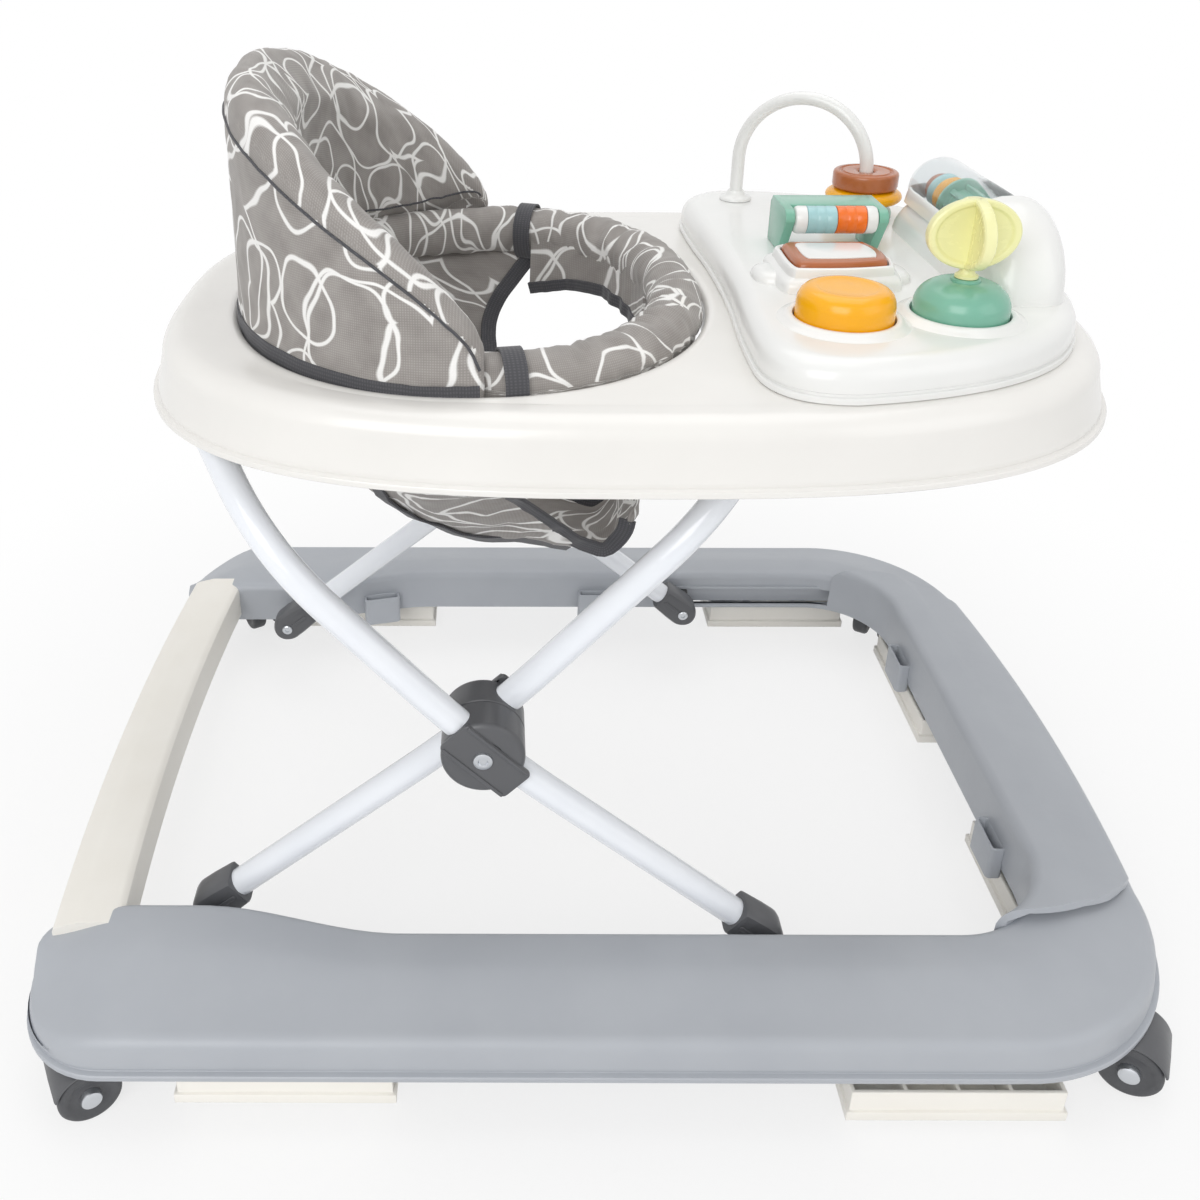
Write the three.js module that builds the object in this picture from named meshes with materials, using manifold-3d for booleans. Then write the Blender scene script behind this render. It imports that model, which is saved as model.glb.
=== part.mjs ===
// Baby walker: a rolling base, a folding cross frame, and a tray with a hung seat and a toy tray.
// Millimetres, +Z up, +X to the front. The origin lies on the floor under the middle of the base.
import * as THREE from "three";
import { mergeVertices } from "three/addons/utils/BufferGeometryUtils.js";
import Module from "manifold-3d";

const wasm = await Module();
wasm.setup();

// Fits
const clearance = 0.3;
const runningGap = 0.5;
const overrun = 6;
const mergeDistance = 1e-3;
const smallestEdge = 1e-2;

// Base rail, a hollow shell that is open below
const baseLength = 736;
const baseWidth = 566;
const railBottom = 41;
const railOuterTop = 67;
const railInnerTop = 78;
const railCrown = 2.5;
const railWall = 3;
const railDraft = 2;
const railEdge = 9;
const sideRailWidth = 75;
const frontRailWidth = 85;
const rearBulge = 22;
const bulgeInset = 168;
const bulgeRun = 130;
const cornerRadius = 120;
const innerCornerRadius = 65;
const frontBow = 10;
const rearEndRadius = 58;
const rearInnerRadius = 16;
const rearEndSetback = 2;
const rearEndDrop = 14;
const flangeOut = 2.5;
const flangeHeight = 3.5;
const humpRise = 10;
const humpProud = 1;
const humpCutRadius = 62;

// Rear bar between the rail ends
const barWidth = 46;
const barHeight = 30;
const barBottom = 46;
const barBow = 9;
const barRidge = 5;
const barEntry = 16;

// Pull tabs on the inner rail face
const tabLength = 33;
const tabHeight = 28;
const tabDepth = 10;
const tabWall = 2;
const tabDrop = 9;
const tabSink = 1;
const tabMidPlace = 20;

// Stopper blocks that drop from the rail
const stopperLength = 128;
const stopperWidth = 52;
const stopperHeight = 22;
const stopperFloorGap = 5;
const stopperFoot = 7;
const stopperFootOut = 2;
const stopperWall = 2.5;
const stopperFloor = 4;
const stopperTravel = 14;
const stopperStemLength = 40;
const stopperStemWidth = 8;
const stopperStemTop = 53;
const stopperInset = 4;
const stopperEndInset = 168;
const stopperFrontInset = 86;
const sleeveWall = 3;
const sleeveBottom = 46;

// Casters
const wheelRadius = 19;
const wheelWidth = 14;
const wheelTyreRound = 2;
const wheelRecess = 1.6;
const wheelRecessRadius = 13.5;
const wheelHubRadius = 7;
const axleRadius = 3;
const axleCapRadius = 5.5;
const axleCapLength = 3;
const casterWeb = 9;
const casterTrail = 16;
const hoodGap = 0.8;
const hoodWall = 1.6;
const stemRadius = 5;
const stemLength = 16;
const swivelPlate = 1.6;
const swivelPlateRadius = 12;
const socketWall = 4;
const rearCasterInset = 56;
const rearCasterSide = 27;
const frontCasterInset = 62;
const frontCasterSide = 45;
const casterTurn = Math.PI / 6;
const hoodOpening = Math.PI / 9;
const webShoulder = Math.PI / 6;

// Cross frame of two bent tubes
const tubeDiameter = 18.5;
const hubForward = 8;
const hubHeight = 204;
const footHeight = 54;
const footBeyond = 4;
const barClear = 27;
const crossbarDrop = 27;
const tubeSide = 22;
const tubePitch = 24;
const outerInwardShare = 0.457;
const innerInwardShare = 0.3704;
const hubBend = 60;
const legBendShare = 0.833;
const barBendShare = 0.7;
const tubeEndGap = 6;

// Hub covers and hub bolts
const hubRadius = 25.5;
const hubFaceOut = 11;
const hubRound = 4;
const hubRidge = 1.6;
const hubRidgeWidth = 5;
const hubRidgeSpread = 13;
const boltRadius = 3;
const boltHeadRadius = 6;
const boltHead = 2.4;

// Foot brackets on the tube ends
const footRadius = 13;
const footLength = 44;
const footThickness = 23;
const footBevel = 2;
const rollerRadius = 7.8;
const pivotRadius = 6;
const washerOut = 3.4;
const washerThick = 2.4;
const slotStop = 33;

// Main tray
const trayRearRim = 52;
const trayFrontDeck = 244;
const trayWidth = 434;
const trayDepth = 40;
const trayTop = 431;
const trayWall = 3;
const trayPower = 2.8;
const beadOut = 2.5;
const beadHeight = 6;
const trayDraft = 5;
const trayEdge = 14;
const openingLength = 302;
const openingWidth = 350;
const openingPlace = 277;
const openingPower = 2.15;
const collarDepth = 22;

// Bearings and slide tracks under the tray
const bearingWidth = 16;
const bearingLength = 30;
const bearingInset = 16;
const bearingBelow = 6;
const bearingSlope = 10;
const trackInset = 7;
const trackThick = 5;
const trackBelow = 8;
const trackEnd = 14;
const trackNotch = 2.2;
const foldTravel = 132;

// Toy tray
const toyRise = 23;
const toyWall = 2.5;
const toyInset = 23;
const toyGap = 7;
const toyWaist = 5;
const toyCorner = 46;
const toyBevel = 7;
const collarRing = 3;
const collarWidth = 6;

// Yellow push button and green dome
const buttonShares = [0.25, -0.2765];
const buttonRadius = 27.5;
const buttonHeight = 20;
const buttonSkirt = 8;
const domeShares = [0.52869, -0.26037];
const domeRadius = 26.5;
const domeHeight = 23;

// Propeller of two crossed ovals
const ovalHalfWidth = 26;
const ovalHalfHeight = 20;
const ovalThick = 7;
const ovalRim = 1.2;
const propellerNeck = 4;
const propellerNeckLength = 5;

// Arch with two loose rings and their seat
const archLeftShares = [0.20082, 0.34562];
const archRightShares = [0.54098, 0.23272];
const archRadius = 4.8;
const archLeg = 32;
const archFlangeRadius = 12;
const archFlangeHeight = 7;
const ringSeatRadius = 21;
const ringSeatHeight = 10;
const ringRadius = 27;
const ringHeight = 11;
const discRadius = 23;
const discHeight = 12;
const ringBoreGap = 1.2;

// Pedestal with the brown key, roller and flap
const keyPlaceShares = [0.31148, -0.09908];
const keyLength = 62;
const keyWidth = 46;
const keyThick = 7;
const keyTravel = 3;
const keySeat = 4;
const pedestalOut = 9;
const pedestalHeight = 14;
const rollerShares = [0.34836, 0.00922];
const rollerLift = 24;
const rollerBandRadius = 9;
const rollerLength = 54;
const rollerBandLength = 19;
const rollerCoreRadius = 7.5;
const rollerPin = 3;
const flapDepth = 40;
const flapThick = 5;
const flapCheek = 6;

// Console and drum
const consoleDepthShares = [0.59836, 0.84426];
const consoleSideShares = [-0.14286, 0.17972];
const consoleRise = 26;
const consoleRound = 14;
const consoleSweep = 21;
const drumShare = 0.72131;
const drumRise = 28;
const drumRadius = 22;
const drumWall = 1.8;
const drumSideShares = [-0.1106, 0.17051];
const drumCoreRadius = 12;
const drumCoreLength = 70;
const drumFlangeRadius = 18;
const drumFlange = 3;
const drumPin = 3;

// Seat
const padGap = 0.8;
const backThick = 34;
const backRise = 154;
const backEndRise = 39;
const backSkirt = 14;
const backOpenShare = 0.53;
const backLean = 6;
const backFall = 0.68;
const ringPadWidth = 36;
const ringPadHeight = 34;
const ringPadRise = 17;
const seatBottom = 254;
const seatRearInset = 21;
const seatFrontInset = 20;
const seatClothThick = 5;
const seatRearWidth = 158;
const seatMidWidth = 180;
const seatThighWidth = 133;
const seatCrotchWidth = 74;
const seatFrontWidth = 150;
const seatFold = 4;
const seatBowl = 46;
const seatDrop = 18;

// Facet counts
const tubeSides = 10;
const tubeSteps = 42;
const roundSides = 16;
const wheelSides = 12;
const trayStations = 44;
const ringSides = 24;
const smallSides = 12;
const padSides = 10;
const curveSteps = 8;
const fineSteps = 12;
const coarseSteps = 5;
const cornerSteps = 6;
const barSteps = 14;
const outlineSteps = 26;
const archSteps = 12;
const backSteps = 22;
const padSteps = 20;
const slingSteps = 16;
const slingAcross = 6;
const stopperCells = 4;
const trackNotches = 3;

// Finishes
const finishes = {
  rail: { color: 0xa3a6ab, roughness: 0.42, metalness: 0 },
  ivory: { color: 0xe8e3da, roughness: 0.45, metalness: 0 },
  dark: { color: 0x5e5e5e, roughness: 0.4, metalness: 0 },
  tube: { color: 0xeef2fb, roughness: 0.18, metalness: 0 },
  steel: { color: 0xc9ccd0, roughness: 0.25, metalness: 1 },
  tray: { color: 0xf1efea, roughness: 0.22, metalness: 0 },
  white: { color: 0xf5f4f1, roughness: 0.25, metalness: 0 },
  fabric: { color: 0xa19c97, roughness: 0.85, metalness: 0 },
  yellow: { color: 0xf9b516, roughness: 0.25, metalness: 0 },
  green: { color: 0x7db9a2, roughness: 0.35, metalness: 0 },
  brown: { color: 0xb56a3c, roughness: 0.4, metalness: 0 },
  orange: { color: 0xf5761a, roughness: 0.3, metalness: 0 },
  blue: { color: 0xa9d3d6, roughness: 0.35, metalness: 0 },
  lemon: { color: 0xf4f2b8, roughness: 0.35, metalness: 0 },
  clear: { color: 0xb9bdc0, roughness: 0.05, metalness: 0, transparent: true, opacity: 0.35 },
};

// A closed geometry as a solid for cutting and joining
function solid(geometry) {
  const bare = geometry.clone();
  bare.deleteAttribute("normal");
  bare.deleteAttribute("uv");
  const merged = geometry.userData.closed ? bare : mergeVertices(bare, mergeDistance);
  const vertProperties = merged.attributes.position.array;
  const triVerts = new Uint32Array(merged.index.array);
  return new wasm.Manifold(new wasm.Mesh({ numProp: 3, vertProperties, triVerts }));
}

function geometryOf(body) {
  const mesh = body.simplify(smallestEdge).getMesh();
  const geometry = new THREE.BufferGeometry();
  geometry.setAttribute("position", new THREE.BufferAttribute(new Float32Array(mesh.vertProperties), 3));
  geometry.setIndex(new THREE.BufferAttribute(new Uint32Array(mesh.triVerts), 1));
  geometry.computeVertexNormals();
  geometry.userData.closed = true;
  return geometry;
}

function join(...pieces) {
  return geometryOf(pieces.map(solid).reduce((whole, piece) => whole.add(piece)));
}

function cut(geometry, ...tools) {
  return geometryOf(tools.map(solid).reduce((whole, tool) => whole.subtract(tool), solid(geometry)));
}

function piece(name, geometry, finish) {
  const mesh = new THREE.Mesh(geometry, new THREE.MeshStandardMaterial(finishes[finish]));
  mesh.name = name;
  return mesh;
}

// Turns every face outwards when the enclosed volume comes out negative
function facedOut(positions, faces) {
  const a = new THREE.Vector3();
  const b = new THREE.Vector3();
  const c = new THREE.Vector3();
  const volume = faces.reduce((sum, [i, j, k]) => {
    a.copy(positions[i]);
    b.copy(positions[j]);
    c.copy(positions[k]);
    return sum + a.dot(b.cross(c));
  }, 0);
  return volume < 0 ? faces.map(([i, j, k]) => [i, k, j]) : faces;
}

function capFaces(ring) {
  const middle = ring.reduce((sum, p) => sum.add(p), new THREE.Vector3()).divideScalar(ring.length);
  const normal = new THREE.Vector3();
  ring.forEach((p, i) => {
    const q = ring[(i + 1) % ring.length];
    normal.add(p.clone().sub(middle).cross(q.clone().sub(middle)));
  });
  normal.normalize();
  const across = ring[0].clone().sub(middle).projectOnPlane(normal).normalize();
  const up = normal.clone().cross(across);
  const flat = ring.map((p) => {
    const d = p.clone().sub(middle);
    return new THREE.Vector2(d.dot(across), d.dot(up));
  });
  return THREE.ShapeUtils.triangulateShape(flat, []);
}

// A skin over rings of equally many points, closed by end caps or by joining the last ring to the first
function loft(rings, closed = false) {
  const count = rings[0].length;
  const positions = rings.flat();
  const faces = [];
  const spans = closed ? rings.length : rings.length - 1;
  for (let i = 0; i < spans; i += 1) {
    const here = i * count;
    const next = ((i + 1) % rings.length) * count;
    for (let j = 0; j < count; j += 1) {
      const k = (j + 1) % count;
      faces.push([here + j, here + k, next + k]);
      faces.push([here + j, next + k, next + j]);
    }
  }
  if (!closed) {
    const last = (rings.length - 1) * count;
    capFaces(rings[0]).forEach(([a, b, c]) => faces.push([a, c, b]));
    capFaces(rings[rings.length - 1]).forEach(([a, b, c]) => faces.push([last + a, last + b, last + c]));
  }
  const geometry = new THREE.BufferGeometry().setFromPoints(positions);
  geometry.setIndex(facedOut(positions, faces).flat());
  return geometry;
}

function box(x0, x1, y0, y1, z0, z1) {
  const geometry = new THREE.BoxGeometry(x1 - x0, y1 - y0, z1 - z0);
  return geometry.translate((x0 + x1) / 2, (y0 + y1) / 2, (z0 + z1) / 2);
}

function cylinderZ(radius, x, y, z0, z1, sides = roundSides) {
  const geometry = new THREE.CylinderGeometry(radius, radius, z1 - z0, sides);
  return geometry.rotateX(Math.PI / 2).translate(x, y, (z0 + z1) / 2);
}

function cylinderY(radius, x, z, y0, y1, sides = roundSides) {
  const low = Math.min(y0, y1);
  const high = Math.max(y0, y1);
  return new THREE.CylinderGeometry(radius, radius, high - low, sides).translate(x, (low + high) / 2, z);
}

// A profile of [radius, height] points turned about the vertical through x, y
function turnedZ(profile, x, y, sides = roundSides) {
  const points = profile.map(([radius, height]) => new THREE.Vector2(radius, height));
  return new THREE.LatheGeometry(points, sides).rotateX(Math.PI / 2).translate(x, y, 0);
}

// The same about a line along Y through x, z, with heights counted along Y
function turnedY(profile, x, z, sides = roundSides) {
  const points = profile.map(([radius, height]) => new THREE.Vector2(radius, height));
  return new THREE.LatheGeometry(points, sides).translate(x, 0, z);
}

function mirrored(geometry) {
  const copy = geometry.clone().scale(1, -1, 1);
  const index = copy.index.array;
  for (let i = 0; i < index.length; i += 3) {
    const held = index[i + 1];
    index[i + 1] = index[i + 2];
    index[i + 2] = held;
  }
  return copy;
}

function smooth(share) {
  const t = Math.min(Math.max(share, 0), 1);
  return t * t * (3 - 2 * t);
}

// Base rail
const halfLength = baseLength / 2;
const halfWidth = baseWidth / 2;
const innerHalf = halfWidth - sideRailWidth;
const railRear = -halfLength + rearEndSetback;
const cornerX = halfLength - flangeOut - frontBow - cornerRadius;
const cornerY = halfWidth - cornerRadius;
const innerFront = halfLength - frontRailWidth;
const innerCornerX = innerFront - innerCornerRadius;
const innerCornerY = innerHalf - innerCornerRadius;

const rearCasterX = halfLength - rearCasterInset;
const rearCasterY = halfWidth - rearCasterSide;
const frontCasterX = halfLength - frontCasterInset;
const frontCasterY = halfWidth - frontCasterSide;
const stopperSidePlace = halfLength - stopperEndInset;
const stopperFrontPlace = innerHalf - stopperFrontInset;
const slotFront = innerFront - slotStop;

// Places that follow from the rail and the seat opening
const openingMiddle = openingPlace - halfLength;
const openingRear = openingMiddle - openingLength / 2;
const openingFront = openingMiddle + openingLength / 2;
const hubX = openingMiddle + hubForward;
const trayBottom = trayTop - trayDepth;
const toyTop = trayTop + toyRise;
const consoleTop = toyTop + consoleRise;
const drumHeight = toyTop + drumRise;
const ringPadTop = trayTop + ringPadRise;
const backTop = trayTop + backRise;
const backEndTop = trayTop + backEndRise;
const backBottom = trayTop - backSkirt;
const crossbarHeight = trayTop - crossbarDrop;
const barLift = crossbarHeight - hubHeight;
const barSpread = openingLength / 2 + barClear;
const footSpread = barSpread + footBeyond;
const outerPlane = innerHalf - tubeSide;
const innerPlane = outerPlane - tubePitch;
const outerInward = outerPlane * outerInwardShare;
const innerInward = innerPlane * innerInwardShare;
const legBend = innerInward * legBendShare;
const barBend = legBend * barBendShare;
const bearingPlace = outerPlane - outerInward - barBend - bearingInset;
const trackPlace = innerPlane - innerInward - barBend - trackInset;
const trayLength = trayRearRim + openingLength + trayFrontDeck;
const trayMiddle = openingRear - trayRearRim + trayLength / 2;
const toyRear = openingFront + toyGap;
const seatRearX = openingRear + seatRearInset;
const seatFrontX = openingFront - seatFrontInset;

function deckX(share) {
  return openingFront + trayFrontDeck * share;
}

function deckY(share) {
  return trayWidth * share;
}

function onDeck([along, across]) {
  return [deckX(along), deckY(across)];
}

const [buttonX, buttonY] = onDeck(buttonShares);
const [domeX, domeY] = onDeck(domeShares);
const [archLeftX, archLeftY] = onDeck(archLeftShares);
const [archRightX, archRightY] = onDeck(archRightShares);
const [keyX, keyY] = onDeck(keyPlaceShares);
const [rollerX, rollerY] = onDeck(rollerShares);
const [consoleRear, consoleFront] = consoleDepthShares.map(deckX);
const [consoleNear, consoleFar] = consoleSideShares.map(deckY);
const drumX = deckX(drumShare);
const [drumNear, drumFar] = drumSideShares.map(deckY);

function innerRailY(x) {
  return innerHalf - rearBulge * smooth((bulgeInset - halfLength + bulgeRun / 2 - x) / bulgeRun);
}

function roundedOff(distance, radius) {
  const short = Math.max(radius - distance, 0);
  return radius - Math.sqrt(radius * radius - short * short);
}

// Stations from the rear end of the near rail to the middle of the front, as outer and inner points
const endShares = [0, 0.04, 0.14, 0.3, 0.52, 0.76, 1];
const sideShares = [0.12, 0.24, 0.36, 0.5, 0.75, 1];
const frontShares = [0.7, 0.35, 0];

function halfStations(inset) {
  const stations = [];
  const rearX = railRear + inset;
  const xs = endShares.map((share) => rearX + share * rearEndRadius);
  const sideStart = rearX + rearEndRadius;
  sideShares.forEach((share) => xs.push(sideStart + share * (innerCornerX - sideStart)));
  xs.forEach((x) => {
    const outerY = halfWidth - roundedOff(x - rearX, rearEndRadius - inset) - inset;
    const innerY = innerRailY(x) + roundedOff(x - rearX, rearInnerRadius) + inset;
    const drop = rearEndDrop * (1 - smooth((x - rearX) / rearEndRadius));
    stations.push({ outer: [x, -outerY], inner: [x, -innerY], drop });
  });
  for (let i = 0; i <= cornerSteps; i += 1) {
    const angle = (i / cornerSteps) * (Math.PI / 2);
    const outerR = cornerRadius - inset;
    const innerR = innerCornerRadius + inset;
    const outer = [cornerX + outerR * Math.sin(angle), -cornerY - outerR * Math.cos(angle)];
    const inner = [innerCornerX + innerR * Math.sin(angle), -innerCornerY - innerR * Math.cos(angle)];
    stations.push({ outer, inner, drop: 0 });
  }
  frontShares.forEach((share) => {
    const outer = [cornerX + cornerRadius - inset + frontBow * (1 - share * share), -cornerY * share];
    stations.push({ outer, inner: [innerFront + inset, -innerCornerY * share], drop: 0 });
  });
  return stations;
}

function railStations(inset) {
  const near = halfStations(inset);
  const far = near.slice(0, -1).reverse();
  const flipped = far.map(({ outer, inner, drop }) => {
    return { outer: [outer[0], -outer[1]], inner: [inner[0], -inner[1]], drop };
  });
  return [...near, ...flipped];
}

// A section as [share of the way inwards, offset inwards, height] points, set up at one station
function stationRing(station, profile) {
  const outer = new THREE.Vector2(...station.outer);
  const inner = new THREE.Vector2(...station.inner);
  const inward = inner.clone().sub(outer).normalize();
  return profile.map(([share, offset, height]) => {
    const p = outer.clone().lerp(inner, share).addScaledVector(inward, offset);
    return new THREE.Vector3(p.x, p.y, height);
  });
}

const edgeStepShare = 0.35;
const middleShare = 0.5;

function railProfile(depth, drop) {
  const outerTop = railOuterTop - drop - depth;
  const innerTop = railInnerTop - drop - depth;
  const crown = (outerTop + innerTop) / 2 + railCrown;
  const foot = railBottom + flangeHeight;
  const skirt = [
    [0, -flangeOut, railBottom],
    [0, -flangeOut, foot],
    [0, 0, foot + flangeOut],
  ];
  const start = depth > 0 ? [[0, 0, railBottom - overrun]] : skirt;
  return [
    ...start,
    [0, railDraft, outerTop - railEdge],
    [0, railDraft + railEdge * edgeStepShare, outerTop - railEdge * edgeStepShare],
    [0, railDraft + railEdge, outerTop],
    [middleShare, 0, crown],
    [1, -railEdge, innerTop],
    [1, -railEdge * edgeStepShare, innerTop - railEdge * edgeStepShare],
    [1, 0, innerTop - railEdge],
    [1, 0, depth > 0 ? railBottom - overrun : railBottom],
  ];
}

function railLoft(depth) {
  return loft(railStations(depth).map((s) => stationRing(s, railProfile(depth, s.drop))));
}

// Raised guard over the front of the rail, with crescent ends
const humpStartShare = 0.09;

function humpLoft(depth) {
  const low = depth > 0 ? railBottom - overrun : railBottom + flangeHeight + flangeOut;
  const outerTop = railOuterTop + humpRise - depth;
  const innerTop = railInnerTop + humpRise - depth;
  const profile = [
    [humpStartShare, depth, low],
    [humpStartShare, depth, outerTop - railEdge],
    [humpStartShare, depth + railEdge, outerTop],
    [middleShare, 0, (outerTop + innerTop) / 2 + railCrown],
    [1, humpProud - depth - railEdge, innerTop],
    [1, humpProud - depth, innerTop - railEdge],
    [1, humpProud - depth, low],
  ];
  const stations = railStations(0);
  const kept = cornerSteps + frontShares.length - (depth > 0 ? 1 : 0);
  const first = halfStations(0).length - kept;
  return loft(stations.slice(first, stations.length - first).map((s) => stationRing(s, profile)));
}

function crescentCutter(side, extra) {
  const x = innerCornerX - frontBow;
  const y = side * (cornerY + sideRailWidth / 2);
  const low = railBottom - 2 * overrun;
  return cylinderZ(humpCutRadius + extra, x, y, low, railInnerTop + humpRise + overrun, ringSides);
}

const postTop = railInnerTop + humpRise;
const hoodTop = 2 * wheelRadius + hoodGap + hoodWall;
const socketBottom = hoodTop + swivelPlate + runningGap;

function casterPlaces() {
  return [
    { name: "rear_near", x: -rearCasterX, y: -rearCasterY, turn: Math.PI + casterTurn },
    { name: "rear_far", x: -rearCasterX, y: rearCasterY, turn: -2 * casterTurn },
    { name: "front_near", x: frontCasterX, y: -frontCasterY, turn: -casterTurn },
    { name: "front_far", x: frontCasterX, y: frontCasterY, turn: Math.PI + 2 * casterTurn },
  ];
}

// Six stoppers: two under each side rail and two under the front
function stopperPlaces() {
  const sideY = halfWidth - stopperFootOut - stopperWidth / 2;
  const frontX = innerFront + railWall + stopperInset + stopperWidth / 2 - stopperFootOut;
  return [
    { name: "near_rear", x: -stopperSidePlace, y: -sideY, turn: 0, lift: stopperTravel },
    { name: "near_front", x: stopperSidePlace, y: -sideY, turn: 0, lift: 0 },
    { name: "far_rear", x: -stopperSidePlace, y: sideY, turn: 0, lift: 0 },
    { name: "far_front", x: stopperSidePlace, y: sideY, turn: 0, lift: 0 },
    { name: "front_near", x: frontX, y: -stopperFrontPlace, turn: Math.PI / 2, lift: 0 },
    { name: "front_far", x: frontX, y: stopperFrontPlace, turn: Math.PI / 2, lift: 0 },
  ];
}

function turnedBox(place, length, width, z0, z1) {
  const geometry = box(-length / 2, length / 2, -width / 2, width / 2, z0, z1);
  return geometry.rotateZ(place.turn).translate(place.x, place.y, 0);
}

const stemHoleTop = stopperStemTop + stopperTravel + clearance;

function rearBarLoft(extra) {
  const reach = innerHalf - rearBulge + barEntry + extra;
  const outerEnd = -halfLength + barBow;
  const rings = [];
  for (let i = 0; i <= barSteps; i += 1) {
    const share = (2 * i) / barSteps - 1;
    const outer = outerEnd - barBow * (1 - share * share) - extra;
    const inner = outer + barWidth + 2 * extra;
    const top = barBottom + barHeight + extra;
    const low = barBottom - extra;
    const ridge = outer + barWidth / 3;
    rings.push(
      [
        [outer, low],
        [inner, low],
        [inner, top - barRidge],
        [inner - barRidge, top],
        [ridge, top],
        [outer, top - barRidge],
      ].map(([x, z]) => new THREE.Vector3(x, share * reach, z)),
    );
  }
  return loft(rings);
}

// Pull tabs: small open pockets on the inner face of the rail
function tabAt(x, y, turn) {
  const top = railBottom + tabHeight - tabDrop;
  const low = railBottom - tabDrop;
  const body = box(-tabLength / 2, tabLength / 2, -tabSink, tabDepth, low, top);
  const pocket = box(
    -tabLength / 2 + tabWall,
    tabLength / 2 - tabWall,
    tabWall,
    tabDepth - tabWall,
    low + tabWall,
    top + overrun,
  );
  return cut(body, pocket).rotateZ(turn).translate(x, y, 0);
}

function capsule(x0, x1, z, radius, y0, y1) {
  const shape = new THREE.Shape();
  shape.absarc(x1 - radius, z, radius, -Math.PI / 2, Math.PI / 2, false);
  shape.absarc(x0 + radius, z, radius, Math.PI / 2, (3 * Math.PI) / 2, false);
  const depth = Math.abs(y1 - y0);
  const options = { depth, bevelEnabled: false, curveSegments: curveSteps };
  const geometry = new THREE.ExtrudeGeometry(shape, options);
  return geometry.rotateX(Math.PI / 2).translate(0, Math.max(y0, y1), 0);
}

const rearFootX = hubX - footSpread;
const frontFootX = hubX + footSpread;

function buildBaseShell() {
  const hump = cut(humpLoft(0), crescentCutter(-1, 0), crescentCutter(1, 0));
  const humpHollow = cut(humpLoft(railWall), crescentCutter(-1, railWall), crescentCutter(1, railWall));
  let shell = cut(join(railLoft(0), hump), railLoft(railWall), humpHollow);
  const posts = [];
  const bores = [];
  casterPlaces().forEach(({ x, y }) => {
    const bore = stemRadius + runningGap;
    const boreTop = socketBottom + stemLength + runningGap;
    posts.push(cylinderZ(bore + socketWall, x, y, socketBottom, postTop, wheelSides));
    bores.push(cylinderZ(bore, x, y, socketBottom - overrun, boreTop, wheelSides));
  });
  stopperPlaces().forEach((place) => {
    const length = stopperStemLength + 2 * runningGap;
    const width = stopperStemWidth + 2 * runningGap;
    const wall = 2 * sleeveWall;
    posts.push(turnedBox(place, length + wall, width + wall, sleeveBottom, postTop));
    bores.push(turnedBox(place, length, width, sleeveBottom - overrun, stemHoleTop));
  });
  const tabRear = tabLength / 2 - stopperSidePlace;
  const rise = innerRailY(tabRear + tabLength / 2) - innerRailY(tabRear - tabLength / 2);
  const slope = Math.atan2(rise, tabLength);
  const tabs = [
    tabAt(tabRear, innerRailY(tabRear), Math.PI + slope),
    tabAt(tabRear, -innerRailY(tabRear), -slope),
    tabAt(tabMidPlace, innerHalf, Math.PI),
    tabAt(tabMidPlace, -innerHalf, 0),
    tabAt(innerFront, -stopperFrontPlace + tabLength / 2, Math.PI / 2),
    tabAt(innerFront, stopperFrontPlace - tabLength / 2, Math.PI / 2),
  ];
  const half = railWall / 2;
  const halfHump = cut(humpLoft(half), crescentCutter(-1, half), crescentCutter(1, half));
  const middle = solid(join(railLoft(half), halfHump));
  const trimmed = posts.map((post) => geometryOf(solid(post).intersect(middle)));
  shell = cut(join(shell, ...trimmed, ...tabs), ...bores, rearBarLoft(clearance));
  [-1, 1].forEach((side) => {
    const slotHalf = rollerRadius + runningGap;
    const wallIn = side * (innerHalf - overrun);
    const wallOut = side * (innerHalf + railWall + overrun);
    shell = cut(shell, capsule(frontFootX - slotHalf, slotFront, footHeight, slotHalf, wallIn, wallOut));
    const holeIn = side * (innerHalf - rearBulge - overrun);
    shell = cut(shell, cylinderY(pivotRadius + runningGap, rearFootX, footHeight, holeIn, wallOut));
  });
  return shell;
}

function buildStopper(place) {
  const low = stopperFloorGap + place.lift;
  const top = low + stopperHeight;
  const foot = turnedBox(
    place,
    stopperLength + 2 * stopperFootOut,
    stopperWidth + 2 * stopperFootOut,
    low,
    low + stopperFoot,
  );
  const body = turnedBox(place, stopperLength, stopperWidth, low, top);
  const stem = turnedBox(place, stopperStemLength, stopperStemWidth, low, stopperStemTop + place.lift);
  const cellLength = (stopperLength - stopperWall) / stopperCells - stopperWall;
  const pockets = [];
  for (let i = 0; i < stopperCells; i += 1) {
    const x = -stopperLength / 2 + stopperWall + i * (cellLength + stopperWall);
    const half = stopperWidth / 2 - stopperWall;
    const pocket = box(x, x + cellLength, -half, half, low + stopperFloor, top + overrun);
    pockets.push(pocket.rotateZ(place.turn).translate(place.x, place.y, 0));
  }
  return join(cut(join(foot, body), ...pockets), stem);
}

// Casters
function casterFrame(place, geometry) {
  return geometry.rotateZ(place.turn).translate(place.x, place.y, 0);
}

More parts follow.
